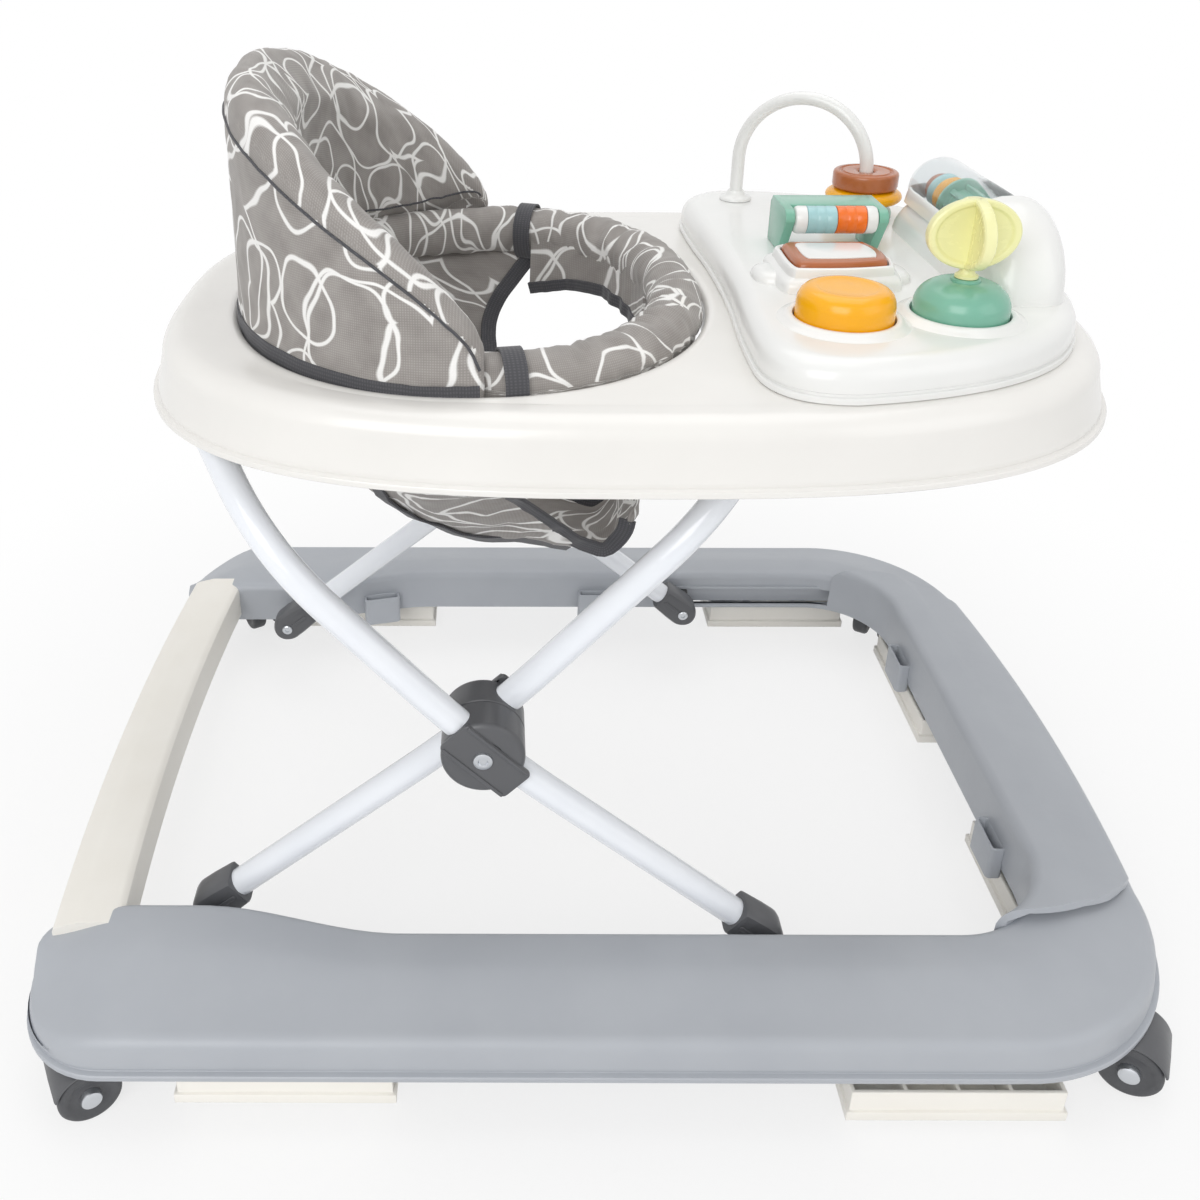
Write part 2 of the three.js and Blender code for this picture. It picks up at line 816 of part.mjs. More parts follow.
function buildHousing(place) {
  const hoodInner = wheelRadius + hoodGap;
  const hoodOuter = hoodInner + hoodWall;
  const reach = casterWeb / 2 + wheelWidth;
  const hood = new THREE.Shape();
  hood.absarc(0, 0, hoodOuter, hoodOpening, Math.PI - hoodOpening, false);
  hood.absarc(0, 0, hoodInner, Math.PI - hoodOpening, hoodOpening, true);
  const hoodOptions = { depth: 2 * reach, bevelEnabled: false, curveSegments: curveSteps };
  const cover = new THREE.ExtrudeGeometry(hood, hoodOptions).rotateX(Math.PI / 2).translate(0, reach, 0);
  const eye = axleCapRadius + socketWall;
  const web = new THREE.Shape();
  web.absarc(0, 0, eye, Math.PI, 2 * Math.PI, false);
  web.lineTo(hoodInner * Math.cos(hoodOpening), hoodInner * Math.sin(hoodOpening) + hoodWall);
  web.absarc(0, 0, hoodInner + hoodWall / 2, webShoulder, Math.PI - webShoulder, false);
  const webOptions = { depth: casterWeb, bevelEnabled: false, curveSegments: curveSteps };
  const plate = new THREE.ExtrudeGeometry(web, webOptions).rotateX(Math.PI / 2);
  plate.translate(0, casterWeb / 2, 0);
  const plateLow = hoodTop - hoodWall;
  const disc = cylinderZ(swivelPlateRadius, 0, 0, plateLow, hoodTop + swivelPlate, wheelSides);
  const stem = cylinderZ(stemRadius, 0, 0, plateLow, socketBottom + stemLength, wheelSides);
  const fork = join(cover, plate).translate(casterTrail, 0, wheelRadius);
  const wheelSpace = cylinderY(hoodInner, casterTrail, wheelRadius, -reach - overrun, -casterWeb / 2);
  const farSpace = cylinderY(hoodInner, casterTrail, wheelRadius, casterWeb / 2, reach + overrun);
  const boreRadius = axleRadius + clearance;
  const bore = cylinderY(boreRadius, casterTrail, wheelRadius, -casterWeb, casterWeb, wheelSides);
  return casterFrame(place, cut(join(fork, disc, stem), wheelSpace, farSpace, bore));
}

function buildWheel(place, side) {
  const inner = casterWeb / 2 + runningGap;
  const outer = inner + wheelWidth - runningGap;
  const bore = axleRadius + clearance;
  const profile = [
    [bore, inner],
    [wheelRadius - wheelTyreRound, inner],
    [wheelRadius, inner + wheelTyreRound],
    [wheelRadius, outer - wheelTyreRound],
    [wheelRadius - wheelTyreRound, outer],
    [wheelRecessRadius, outer],
    [wheelHubRadius, outer - wheelRecess],
    [bore, outer - wheelRecess],
    [bore, inner],
  ];
  const wheel = geometryOf(solid(turnedY(profile, casterTrail, wheelRadius, wheelSides)));
  return casterFrame(place, side < 0 ? mirrored(wheel) : wheel);
}

function buildAxle(place) {
  const seat = casterWeb / 2 + wheelWidth - wheelRecess + clearance;
  const end = seat + axleCapLength + wheelRecess;
  const profile = [
    [0, -end],
    [axleCapRadius, -end],
    [axleCapRadius, -seat],
    [axleRadius, -seat],
    [axleRadius, seat],
    [axleCapRadius, seat],
    [axleCapRadius, end],
    [0, end],
  ];
  return casterFrame(place, turnedY(profile, casterTrail, wheelRadius, wheelSides));
}

// Cross frame
const tubeRadius = tubeDiameter / 2;

// A path of straight runs joined by bends at the given corners
function bentPath(corners) {
  const path = new THREE.CurvePath();
  let from = corners[0].at;
  for (let i = 1; i < corners.length - 1; i += 1) {
    const { at, bend } = corners[i];
    const back = corners[i - 1].at.clone().sub(at).normalize();
    const ahead = corners[i + 1].at.clone().sub(at).normalize();
    const start = at.clone().addScaledVector(back, bend);
    const end = at.clone().addScaledVector(ahead, bend);
    path.add(new THREE.LineCurve3(from, start));
    path.add(new THREE.QuadraticBezierCurve3(start, at, end));
    from = end;
  }
  path.add(new THREE.LineCurve3(from, corners[corners.length - 1].at));
  return path;
}

function tubeAlong(path, radius, steps) {
  const options = { steps, extrudePath: path, curveSegments: tubeSides / 2, bevelEnabled: false };
  const shape = new THREE.Shape();
  for (let i = 0; i < tubeSides; i += 1) {
    const angle = (2 * Math.PI * i) / tubeSides;
    const place = [radius * Math.cos(angle), radius * Math.sin(angle)];
    if (i === 0) shape.moveTo(...place);
    else shape.lineTo(...place);
  }
  return new THREE.ExtrudeGeometry(shape, options);
}

// One bent tube: foot, hub, leg bend, crossbar under the tray, and back down the other side
function frameCorners(direction, plane, inward, endGap) {
  const hub = new THREE.Vector3(hubX, 0, hubHeight);
  const foot = new THREE.Vector3(hubX - direction * footSpread, 0, footHeight);
  const bar = new THREE.Vector3(hubX + direction * barSpread, 0, hubHeight + barLift);
  const down = foot.clone().sub(hub).normalize();
  const up = bar.clone().sub(hub).normalize();
  const end = foot.clone().addScaledVector(down, -endGap);
  const leg = bar.clone().addScaledVector(up, -inward);
  const side = (point, y, bend = 0) => ({ at: new THREE.Vector3(point.x, y, point.z), bend });
  return [
    side(end, -plane),
    side(hub, -plane, hubBend),
    side(leg, -plane, legBend),
    side(bar, -plane + inward, barBend),
    side(bar, plane - inward, barBend),
    side(leg, plane, legBend),
    side(hub, plane, hubBend),
    side(end, plane),
  ];
}

function outerTube(radius, endGap) {
  return tubeAlong(bentPath(frameCorners(-1, outerPlane, outerInward, endGap)), radius, tubeSteps);
}

function innerTube(radius, endGap) {
  return tubeAlong(bentPath(frameCorners(1, innerPlane, innerInward, endGap)), radius, tubeSteps);
}

const outerRoom = outerTube(tubeRadius + clearance, tubeEndGap - clearance);
const innerRoom = innerTube(tubeRadius + clearance, tubeEndGap - clearance);

function boltHole(side) {
  const near = side * (innerPlane - hubFaceOut - overrun);
  const far = side * (outerPlane + hubFaceOut + overrun);
  return cylinderY(boltRadius + clearance, hubX, hubHeight, near, far, wheelSides);
}

function buildOuterTube() {
  return cut(outerTube(tubeRadius, tubeEndGap), boltHole(-1), boltHole(1));
}

function buildInnerTube() {
  return cut(innerTube(tubeRadius, tubeEndGap), boltHole(-1), boltHole(1));
}

const hubSeam = (outerPlane + innerPlane) / 2;

// Hub halves are turned discs with ridges along their tube and a channel for it
function buildHubCover(side, outward) {
  const seam = hubSeam + (outward ? clearance : -clearance);
  const face = outward ? outerPlane + hubFaceOut : innerPlane - hubFaceOut;
  const step = outward ? 1 : -1;
  const profile = [
    [0, seam],
    [hubRadius, seam],
    [hubRadius, face - step * hubRound],
    [hubRadius - hubRound / 3, face - (step * hubRound) / 3],
    [hubRadius - hubRound, face],
    [0, face],
  ];
  const ordered = outward ? profile : profile.slice().reverse();
  const disc = turnedY(ordered, hubX, hubHeight);
  const lean = Math.atan2(barLift + hubHeight - footHeight, barSpread + footSpread);
  const ridges = [-1, 1].map((way) => {
    const along = box(-hubRadius / 2, hubRadius / 2, 0, hubRidge, -hubRidgeWidth / 2, hubRidgeWidth / 2);
    const raised = along.translate(0, face - hubRidge / 2, way * hubRidgeSpread);
    return raised.rotateY(outward ? lean : -lean).translate(hubX, 0, hubHeight);
  });
  const whole = join(disc, ...ridges);
  const turned = side < 0 ? mirrored(whole) : whole;
  return cut(turned, outward ? outerRoom : innerRoom, boltHole(side));
}

function buildHubBolt(side) {
  const inner = innerPlane - hubFaceOut - hubRidge - clearance;
  const outer = outerPlane + hubFaceOut + clearance;
  const profile = [
    [0, inner - boltHead],
    [boltHeadRadius, inner - boltHead],
    [boltHeadRadius, inner],
    [boltRadius, inner],
    [boltRadius, outer],
    [boltHeadRadius, outer],
    [boltHeadRadius, outer + boltHead],
    [0, outer + boltHead],
  ];
  const bolt = geometryOf(solid(turnedY(profile, hubX, hubHeight, wheelSides)));
  return side < 0 ? mirrored(bolt) : bolt;
}

// Foot brackets: a rounded sleeve on the tube end, with its pin through the rail
function buildFoot(side, front) {
  const plane = front ? outerPlane : innerPlane;
  const x = front ? frontFootX : rearFootX;
  const toHub = new THREE.Vector2(hubX - x, hubHeight - footHeight).normalize();
  const angle = Math.atan2(toHub.y, toHub.x);
  const shape = new THREE.Shape();
  shape.absarc(0, 0, footRadius, Math.PI / 2, (3 * Math.PI) / 2, false);
  shape.lineTo(footLength, -tubeRadius - footBevel);
  shape.lineTo(footLength, tubeRadius + footBevel);
  const depth = footThickness - 2 * footBevel;
  const options = {
    depth,
    curveSegments: curveSteps,
    bevelThickness: footBevel,
    bevelSize: footBevel,
    bevelOffset: -footBevel,
    bevelSegments: 1,
  };
  const sleeve = new THREE.ExtrudeGeometry(shape, options).rotateZ(angle).rotateX(Math.PI / 2);
  sleeve.translate(x, plane + depth / 2, footHeight);
  const face = plane + footThickness / 2;
  const wallOut = front ? innerHalf + railWall : innerRailY(x - pivotRadius - washerOut) + 2 * railWall;
  const pinRadius = front ? rollerRadius : pivotRadius;
  const washerStart = wallOut + (front ? runningGap : railWall / 2);
  const pinProfile = [
    [0, face - footBevel],
    [pinRadius, face - footBevel],
    [pinRadius, washerStart],
    [pinRadius + washerOut, washerStart],
    [pinRadius + washerOut, washerStart + washerThick],
    [0, washerStart + washerThick],
  ];
  const pin = turnedY(pinProfile, x, footHeight, wheelSides);
  const whole = join(sleeve, pin);
  return cut(side < 0 ? mirrored(whole) : whole, front ? outerRoom : innerRoom);
}

// Main tray, as one ring-shaped skin between the outer oval and the seat opening
function oval(halfX, halfY, power, middle, angle) {
  const c = Math.cos(angle);
  const s = Math.sin(angle);
  const x = halfX * Math.sign(c) * Math.abs(c) ** (2 / power);
  const y = halfY * Math.sign(s) * Math.abs(s) ** (2 / power);
  return [middle + x, y];
}

function trayOval(inset, angle) {
  return oval(trayLength / 2 - inset, trayWidth / 2 - inset, trayPower, trayMiddle, angle);
}

function openingOval(outset, angle) {
  return oval(openingLength / 2 + outset, openingWidth / 2 + outset, openingPower, openingMiddle, angle);
}

const trayEdgeStepShare = 0.3;
const openingEdge = 5;

function buildMainTray() {
  const edge = trayDraft + beadOut;
  const step = trayEdge * trayEdgeStepShare;
  const under = trayTop - trayWall;
  const outerSkin = [
    [0, trayBottom],
    [0, trayBottom + beadHeight - beadOut],
    [beadOut, trayBottom + beadHeight],
    [edge, trayTop - trayEdge],
    [edge + step, trayTop - step],
    [edge + trayEdge, trayTop],
  ];
  const openingSkin = [
    [openingEdge, trayTop],
    [openingEdge * trayEdgeStepShare, trayTop - openingEdge * trayEdgeStepShare],
    [0, trayTop - openingEdge],
    [0, trayTop - collarDepth],
    [trayWall, trayTop - collarDepth],
    [trayWall, under - trayWall],
    [trayWall + openingEdge, under],
  ];
  const underSkin = [
    [edge + trayEdge + trayWall, under],
    [edge + step + trayWall, under - step],
    [edge + trayWall, under - trayEdge],
    [trayWall + beadOut, trayBottom],
  ];
  const rings = [];
  for (let i = 0; i < trayStations; i += 1) {
    const angle = (2 * Math.PI * i) / trayStations;
    const at = (place, inset, z) => {
      const [x, y] = place(inset, angle);
      return new THREE.Vector3(x, y, z);
    };
    rings.push([
      ...outerSkin.map(([inset, z]) => at(trayOval, inset, z)),
      ...openingSkin.map(([outset, z]) => at(openingOval, outset, z)),
      ...underSkin.map(([inset, z]) => at(trayOval, inset, z)),
    ]);
  }
  return loft(rings, true);
}

const rearBarX = hubX - barSpread;
const frontBarX = hubX + barSpread;
const trayUnder = trayTop - trayWall - clearance;

// Bearing block that carries the rear crossbar
function buildBearing(side) {
  const low = crossbarHeight - tubeRadius - bearingBelow;
  const y = side * bearingPlace;
  const rear = rearBarX - bearingLength / 2;
  const front = rearBarX + bearingLength / 2;
  const shape = new THREE.Shape();
  shape.moveTo(rear, low);
  shape.lineTo(front, low);
  shape.lineTo(front, trayUnder);
  shape.lineTo(rear + bearingSlope, trayUnder);
  shape.lineTo(rear, trayUnder - bearingSlope);
  const block = new THREE.ExtrudeGeometry(shape, { depth: bearingWidth, bevelEnabled: false });
  block.rotateX(Math.PI / 2).translate(0, y + bearingWidth / 2, 0);
  const room = tubeRadius + runningGap;
  const bore = cylinderY(room, rearBarX, crossbarHeight, y - bearingWidth, y + bearingWidth);
  return cut(block, bore);
}

// Slide track for the front crossbar, with three height notches along its lower edge
function buildTrack(side) {
  const y = side * trackPlace;
  const half = trackThick / 2;
  const room = tubeRadius + runningGap;
  const start = frontBarX - room;
  const end = frontBarX + foldTravel + room;
  const low = crossbarHeight - room - trackBelow;
  const plate = box(start - trackEnd, end + trackEnd, y - half, y + half, low, trayUnder);
  const slot = capsule(start, end, crossbarHeight, room, y - trackThick, y + trackThick);
  const notches = Array.from({ length: trackNotches }, (_, i) => {
    const x = frontBarX + 2 * i * room;
    return cylinderY(room, x, crossbarHeight - trackNotch, y - trackThick, y + trackThick, wheelSides);
  });
  return cut(plate, slot, ...notches);
}

// Toy tray
function toyOutline(inset) {
  const halfX = trayLength / 2 - toyInset - inset;
  const halfY = trayWidth / 2 - toyInset - inset;
  const rear = toyRear + inset;
  const points = [];
  const cornerX = rear + toyCorner - inset;
  for (let i = 0; i <= outlineSteps; i += 1) {
    const angle = -Math.PI / 2 + (Math.PI * i) / outlineSteps;
    const [x, y] = oval(halfX, halfY, trayPower, trayMiddle, angle);
    if (x > cornerX) points.push(new THREE.Vector2(x, y));
  }
  const first = points[0];
  const last = points[points.length - 1];
  const shape = new THREE.Shape();
  shape.moveTo(first.x, first.y);
  points.slice(1).forEach((p) => shape.lineTo(p.x, p.y));
  const half = last.y - toyCorner;
  shape.quadraticCurveTo(rear, last.y, rear, half);
  shape.bezierCurveTo(rear, half / 2, rear + toyWaist, half / 2, rear + toyWaist, 0);
  shape.bezierCurveTo(rear + toyWaist, -half / 2, rear, -half / 2, rear, -half);
  shape.quadraticCurveTo(rear, first.y, first.x, first.y);
  return shape;
}

const toyBottom = trayTop + clearance;

function toyBlock(inset, low, high) {
  const bevel = { bevelThickness: toyBevel, bevelSize: toyBevel, bevelOffset: -toyBevel, bevelSegments: 2 };
  const options = { depth: high - low - toyBevel, curveSegments: coarseSteps, ...bevel };
  const block = new THREE.ExtrudeGeometry(toyOutline(inset), options).translate(0, 0, low);
  const trim = box(-trayLength, trayLength, -trayWidth, trayWidth, low - 2 * toyBevel, low);
  return cut(block, trim);
}

// Console hump, a rounded profile along Y
function consoleBlock(inset, low) {
  const rear = consoleRear + inset;
  const front = consoleFront - inset;
  const top = consoleTop - inset;
  const shape = new THREE.Shape();
  shape.moveTo(rear - consoleRound, low);
  shape.lineTo(front, low);
  shape.quadraticCurveTo(front, top, front - consoleSweep, top);
  shape.lineTo(rear + consoleSweep, top);
  shape.quadraticCurveTo(rear + consoleRound / 2, top, rear, low + consoleRound);
  const bevel = { bevelThickness: consoleRound, bevelSize: consoleRound / 2, bevelSegments: 2 };
  const depth = consoleFar - consoleNear - 2 * consoleRound - 2 * inset;
  const options = { depth, curveSegments: coarseSteps, bevelOffset: -consoleRound / 2, ...bevel };
  const hump = new THREE.ExtrudeGeometry(shape, options).rotateX(Math.PI / 2);
  return hump.translate(0, consoleFar - consoleRound - inset, 0);
}

const collarSlopeShare = 0.7;

function collarAt(x, y, radius) {
  const inner = radius + runningGap;
  const profile = [
    [inner, toyTop - toyWall],
    [inner + collarWidth, toyTop - toyWall],
    [inner + collarWidth, toyTop],
    [inner + collarWidth * collarSlopeShare, toyTop + collarRing],
    [inner, toyTop + collarRing],
    [inner, toyTop - toyWall],
  ];
  return turnedZ(profile, x, y, ringSides);
}

function pedestalBlock() {
  const wide = keyLength / 2 + pedestalOut;
  const deep = keyWidth / 2 + pedestalOut;
  const lower = new THREE.Shape();
  lower.moveTo(-wide, -deep + pedestalOut);
  lower.quadraticCurveTo(-wide, -deep, -wide + pedestalOut, -deep);
  lower.lineTo(wide - pedestalOut, -deep);
  lower.quadraticCurveTo(wide, -deep, wide, -deep + pedestalOut);
  lower.lineTo(wide - pedestalOut, deep);
  lower.lineTo(-wide + pedestalOut, deep);
  const bevelSize = pedestalOut / 2;
  const options = {
    depth: pedestalHeight / 2 + toyWall,
    curveSegments: coarseSteps,
    bevelThickness: pedestalHeight / 2,
    bevelSize,
    bevelOffset: -bevelSize,
    bevelSegments: 1,
  };
  return new THREE.ExtrudeGeometry(lower, options).translate(keyX, keyY, toyTop - toyWall);
}

const rollerHeight = toyTop + rollerLift;
const keyBottom = toyTop + pedestalHeight - keySeat;
const drumRoom = drumRadius + clearance;

function buildToyShell() {
  const low = toyBottom;
  const pedestalTop = toyTop + pedestalHeight;
  let shell = join(
    toyBlock(0, low, toyTop),
    consoleBlock(0, toyTop - toyWall),
    collarAt(buttonX, buttonY, buttonRadius),
    collarAt(domeX, domeY, domeRadius),
    pedestalBlock(),
  );
  const hollow = toyBlock(toyWall, low - overrun, toyTop - toyWall);
  const spaceNear = drumNear - clearance;
  const drumSpace = cylinderY(drumRoom, drumX, drumHeight, spaceNear, drumFar + clearance, ringSides);
  const keyWell = keyBlock(runningGap, keyBottom - keyTravel - runningGap, pedestalTop + overrun);
  shell = cut(
    shell,
    hollow,
    consoleBlock(toyWall, toyTop - 2 * toyWall),
    cylinderZ(buttonRadius + runningGap, buttonX, buttonY, low, toyTop + overrun, ringSides),
    cylinderZ(domeRadius + runningGap, domeX, domeY, low, toyTop + overrun, ringSides),
  );
  const cradleRadius = drumRoom + toyWall;
  const cradleNear = drumNear - toyWall;
  const cradle = cylinderY(cradleRadius, drumX, drumHeight, cradleNear, drumFar + toyWall, ringSides);
  const cradleTrim = box(
    drumX - trayLength,
    drumX + trayLength,
    -trayWidth,
    trayWidth,
    consoleTop - toyWall / 2,
    consoleTop + 2 * drumRadius,
  );
  shell = join(shell, cut(cradle, cradleTrim));
  return cut(shell, drumSpace, keyWell);
}

// Rounded triangle of the key, as bends and ends in shares of its half length and half width
const keyStartShares = [-0.9, -1];
const keyBendShares = [
  [0, -1.1, 0.82, -0.8],
  [1.05, 0, 0.72, 1],
  [0, 1, -0.8, 1],
  [-1.05, 0.9, -1, 0.5],
];

function keyShape(extra) {
  const wide = keyLength / 2 + extra;
  const deep = keyWidth / 2 + extra;
  const shape = new THREE.Shape();
  shape.moveTo(wide * keyStartShares[0], deep * keyStartShares[1]);
  keyBendShares.forEach(([bendX, bendY, endX, endY]) => {
    shape.quadraticCurveTo(wide * bendX, deep * bendY, wide * endX, deep * endY);
  });
  return shape;
}

function keyBlock(extra, low, high) {
  const options = { depth: high - low, curveSegments: coarseSteps, bevelEnabled: false };
  return new THREE.ExtrudeGeometry(keyShape(extra), options).translate(keyX, keyY, low);
}

function buildKey() {
  const bevel = keyThick / 3;
  const options = {
    depth: keyThick - 2 * bevel,
    curveSegments: coarseSteps,
    bevelThickness: bevel,
    bevelSize: bevel,
    bevelOffset: -bevel,
    bevelSegments: 1,
  };
  return new THREE.ExtrudeGeometry(keyShape(0), options).translate(keyX, keyY, keyBottom + bevel);
}

// Round cap: shares of its radius and of its height over the deck
const capShares = [
  [1, 0.35],
  [0.94, 0.68],
  [0.76, 0.92],
  [0.62, 1],
];

function domeProfile(radius, height) {
  const base = toyTop - toyWall - runningGap;
  return [
    [0, base - buttonSkirt],
    [radius, base - buttonSkirt],
    ...capShares.map(([across, up]) => [radius * across, toyTop + height * up]),
    [0, toyTop + height],
  ];
}

function buildButton() {
  return turnedZ(domeProfile(buttonRadius, buttonHeight), buttonX, buttonY, ringSides);
}

function buildDome() {
  return turnedZ(domeProfile(domeRadius, domeHeight), domeX, domeY, ringSides);
}

// Two crossed ovals with thick rims on a short neck
function buildPropeller() {
  const low = toyTop + domeHeight + clearance;
  const middle = low + propellerNeckLength + ovalHalfHeight;
  const ovalPlate = (thick) => {
    const shape = new THREE.Shape();
    shape.absellipse(0, 0, ovalHalfWidth, ovalHalfHeight, 0, 2 * Math.PI, false);
    const bevel = { bevelThickness: ovalRim, bevelSize: ovalRim, bevelOffset: -ovalRim, bevelSegments: 1 };
    const options = { depth: thick - 2 * ovalRim, curveSegments: fineSteps, ...bevel };
    const plate = new THREE.ExtrudeGeometry(shape, options);
    return plate.translate(0, 0, -thick / 2 + ovalRim).rotateX(Math.PI / 2);
  };
  const first = ovalPlate(ovalThick);
  const second = ovalPlate(ovalThick).rotateZ(Math.PI / 2);
  const neckLow = -ovalHalfHeight - propellerNeckLength;
  const neck = cylinderZ(propellerNeck, 0, 0, neckLow, -ovalHalfHeight / 2, smallSides);
  return join(first, second, neck).translate(domeX, domeY, middle);
}

// Arch: two upright legs and a half circle between them, with a flange on the left leg
const archLeft = new THREE.Vector2(archLeftX, archLeftY);
const archRight = new THREE.Vector2(archRightX, archRightY);

function buildArch() {
  const middle = archLeft.clone().add(archRight).divideScalar(2);
  const reach = archLeft.distanceTo(archRight) / 2;
  const way = archRight.clone().sub(archLeft).normalize();
  const base = toyTop + clearance;
  const spring = base + archLeg;
  const points = [new THREE.Vector3(archLeft.x, archLeft.y, base)];
  for (let i = 0; i <= archSteps; i += 1) {
    const angle = Math.PI - (Math.PI * i) / archSteps;
    const across = middle.clone().addScaledVector(way, reach * Math.cos(angle));
    points.push(new THREE.Vector3(across.x, across.y, spring + reach * Math.sin(angle)));
  }
  points.push(new THREE.Vector3(archRight.x, archRight.y, base));
  const rings = points.map((p, i) => {
    const before = points[Math.max(i - 1, 0)];
    const after = points[Math.min(i + 1, points.length - 1)];
    const ahead = after.clone().sub(before).normalize();
    const sideways = new THREE.Vector3(-way.y, way.x, 0);
    const up = sideways.clone().cross(ahead);
    const ring = [];
    for (let j = 0; j < tubeSides; j += 1) {
      const angle = (2 * Math.PI * j) / tubeSides;
      const out = sideways.clone().multiplyScalar(Math.cos(angle)).addScaledVector(up, Math.sin(angle));
      ring.push(p.clone().addScaledVector(out, archRadius));
    }
    return ring;
  });
  const flange = turnedZ(
    [
      [0, base],
      [archFlangeRadius, base],
      [archFlangeRadius, base + archFlangeHeight / 3],
      [archRadius + clearance, base + archFlangeHeight],
      [0, base + archFlangeHeight],
    ],
    archLeft.x,
    archLeft.y,
  );
  return join(loft(rings), flange);
}

const ringSeatTop = toyTop + clearance + ringSeatHeight;
const ringBottom = ringSeatTop + clearance;
const discBottom = ringBottom + ringHeight + clearance;
const ringSeatTopShare = 0.8;
const ringCrownShare = 0.75;

function buildRingSeat() {
  const low = toyTop + clearance;
  const bore = archRadius + clearance;
  const profile = [
    [bore, low],
    [ringSeatRadius, low],
    [ringSeatRadius, low + ringSeatHeight / 2],
    [ringSeatRadius * ringSeatTopShare, low + ringSeatHeight],
    [bore, low + ringSeatHeight],
    [bore, low],
  ];
  return turnedZ(profile, archRightX, archRightY);
}

function buildRing() {
  const bore = archRadius + ringBoreGap;
  const third = ringHeight / 3;
  const profile = [
    [bore, ringBottom + third],
    [ringRadius * ringCrownShare, ringBottom],
    [ringRadius, ringBottom + third],
    [ringRadius, ringBottom + 2 * third],
    [ringRadius * ringCrownShare, ringBottom + ringHeight],
    [bore, ringBottom + 2 * third],
    [bore, ringBottom + third],
  ];
  return turnedZ(profile, archRightX, archRightY, ringSides);
}

function buildDisc() {
  const bore = archRadius + ringBoreGap;
  const edge = discHeight / 4;
  const profile = [
    [bore, discBottom],
    [discRadius - edge, discBottom],
    [discRadius, discBottom + edge],
    [discRadius, discBottom + discHeight - edge],
    [discRadius - edge, discBottom + discHeight],
    [bore, discBottom + discHeight],
    [bore, discBottom],
  ];
  return turnedZ(profile, archRightX, archRightY, ringSides);
}

// Flap bracket behind the key, whose cheeks carry the roller
function buildFlap() {
  const rear = rollerX - rollerLength / 2 - clearance - flapCheek;
  const front = rollerX + rollerLength / 2 + clearance + flapCheek;
  const near = rollerY - rollerCoreRadius;
  const far = rollerY + flapDepth;
  const low = toyTop + clearance;
  const top = rollerHeight + rollerCoreRadius;
  const cheeks = [rear, front - flapCheek].map((x) => {
    const shape = new THREE.Shape();
    shape.moveTo(near, rollerHeight - low);
    shape.absarc(rollerY, rollerHeight - low, rollerCoreRadius, Math.PI, Math.PI / 2, true);
    shape.lineTo(far - flapThick, top - low);
    shape.lineTo(far, top - low - flapThick);
    shape.lineTo(far, 0);
    shape.lineTo(rollerY + rollerBandRadius, 0);
    const options = { depth: flapCheek, curveSegments: coarseSteps, bevelEnabled: false };
    const cheek = new THREE.ExtrudeGeometry(shape, options);
    cheek.rotateX(Math.PI / 2).rotateZ(Math.PI / 2);
    return cheek.translate(x, 0, low);
  });
  const backStart = rollerY + rollerBandRadius + runningGap;
  const lid = box(rear, front, backStart, far - flapThick, top - flapThick, top);
  const pins = new THREE.CylinderGeometry(rollerPin, rollerPin, front - rear, smallSides);
  pins.rotateZ(Math.PI / 2).translate((rear + front) / 2, rollerY, rollerHeight);
  return join(...cheeks, lid, pins);
}

function bandX(radius, bore, x0, x1) {
  const profile = [
    [bore, x0],
    [radius, x0],
    [radius, x1],
    [bore, x1],
    [bore, x0],
  ];
  const points = profile.map(([r, h]) => new THREE.Vector2(r, h));
  const band = new THREE.LatheGeometry(points, wheelSides).rotateZ(-Math.PI / 2);
  return band.translate(rollerX, rollerY, rollerHeight);
}

function buildRollerCore() {
  const half = rollerLength / 2;
  const bore = rollerPin + clearance;
  const profile = [
    [bore, -half],
    [rollerCoreRadius, -half],
    [rollerBandRadius, -half + rollerCoreRadius / 3],
    [rollerBandRadius, -rollerBandLength - clearance],
    [rollerCoreRadius, -rollerBandLength - clearance],
    [rollerCoreRadius, rollerBandLength + clearance],
    [rollerBandRadius, rollerBandLength + clearance],
    [rollerBandRadius, half - rollerCoreRadius / 3],
    [rollerCoreRadius, half],
    [bore, half],
    [bore, -half],
  ];
  const points = profile.map(([r, h]) => new THREE.Vector2(r, h));
  const core = new THREE.LatheGeometry(points, wheelSides).rotateZ(-Math.PI / 2);
  return core.translate(rollerX, rollerY, rollerHeight);
}

function buildRollerBand(side) {
  const bore = rollerCoreRadius + clearance;
  const near = side > 0 ? clearance / 2 : -rollerBandLength;
  const far = side > 0 ? rollerBandLength : -clearance / 2;
  return bandX(rollerBandRadius, bore, near, far);
}

// Clear drum with closed ends, and the spool that turns inside it
function buildDrumWindow() {
  const outer = drumRadius;
  const inner = drumRadius - drumWall;
  const shellBody = cylinderY(outer, drumX, drumHeight, drumNear, drumFar, ringSides);
  const room = cylinderY(inner, drumX, drumHeight, drumNear + drumWall, drumFar - drumWall, ringSides);
  const mouthRadius = drumPin + runningGap;
  const mouthNear = drumNear - overrun;
  const mouth = cylinderY(mouthRadius, drumX, drumHeight, mouthNear, drumFar + overrun, smallSides);
  return cut(shellBody, room, mouth);
}

function buildDrumCore() {
  const near = drumNear + clearance;
  const far = drumFar - clearance;
  const start = drumNear + drumWall + 2 * runningGap;
  const end = start + drumCoreLength;
  const profile = [
    [0, near],
    [drumPin, near],
    [drumPin, start],
    [drumFlangeRadius, start],
    [drumFlangeRadius, start + drumFlange],
    [drumCoreRadius, start + drumFlange],
    [drumCoreRadius, end - drumFlange],
    [drumFlangeRadius, end - drumFlange],
    [drumFlangeRadius, end],
    [drumPin, end],
    [drumPin, far],
    [0, far],
  ];
  return turnedY(profile, drumX, drumHeight);
}

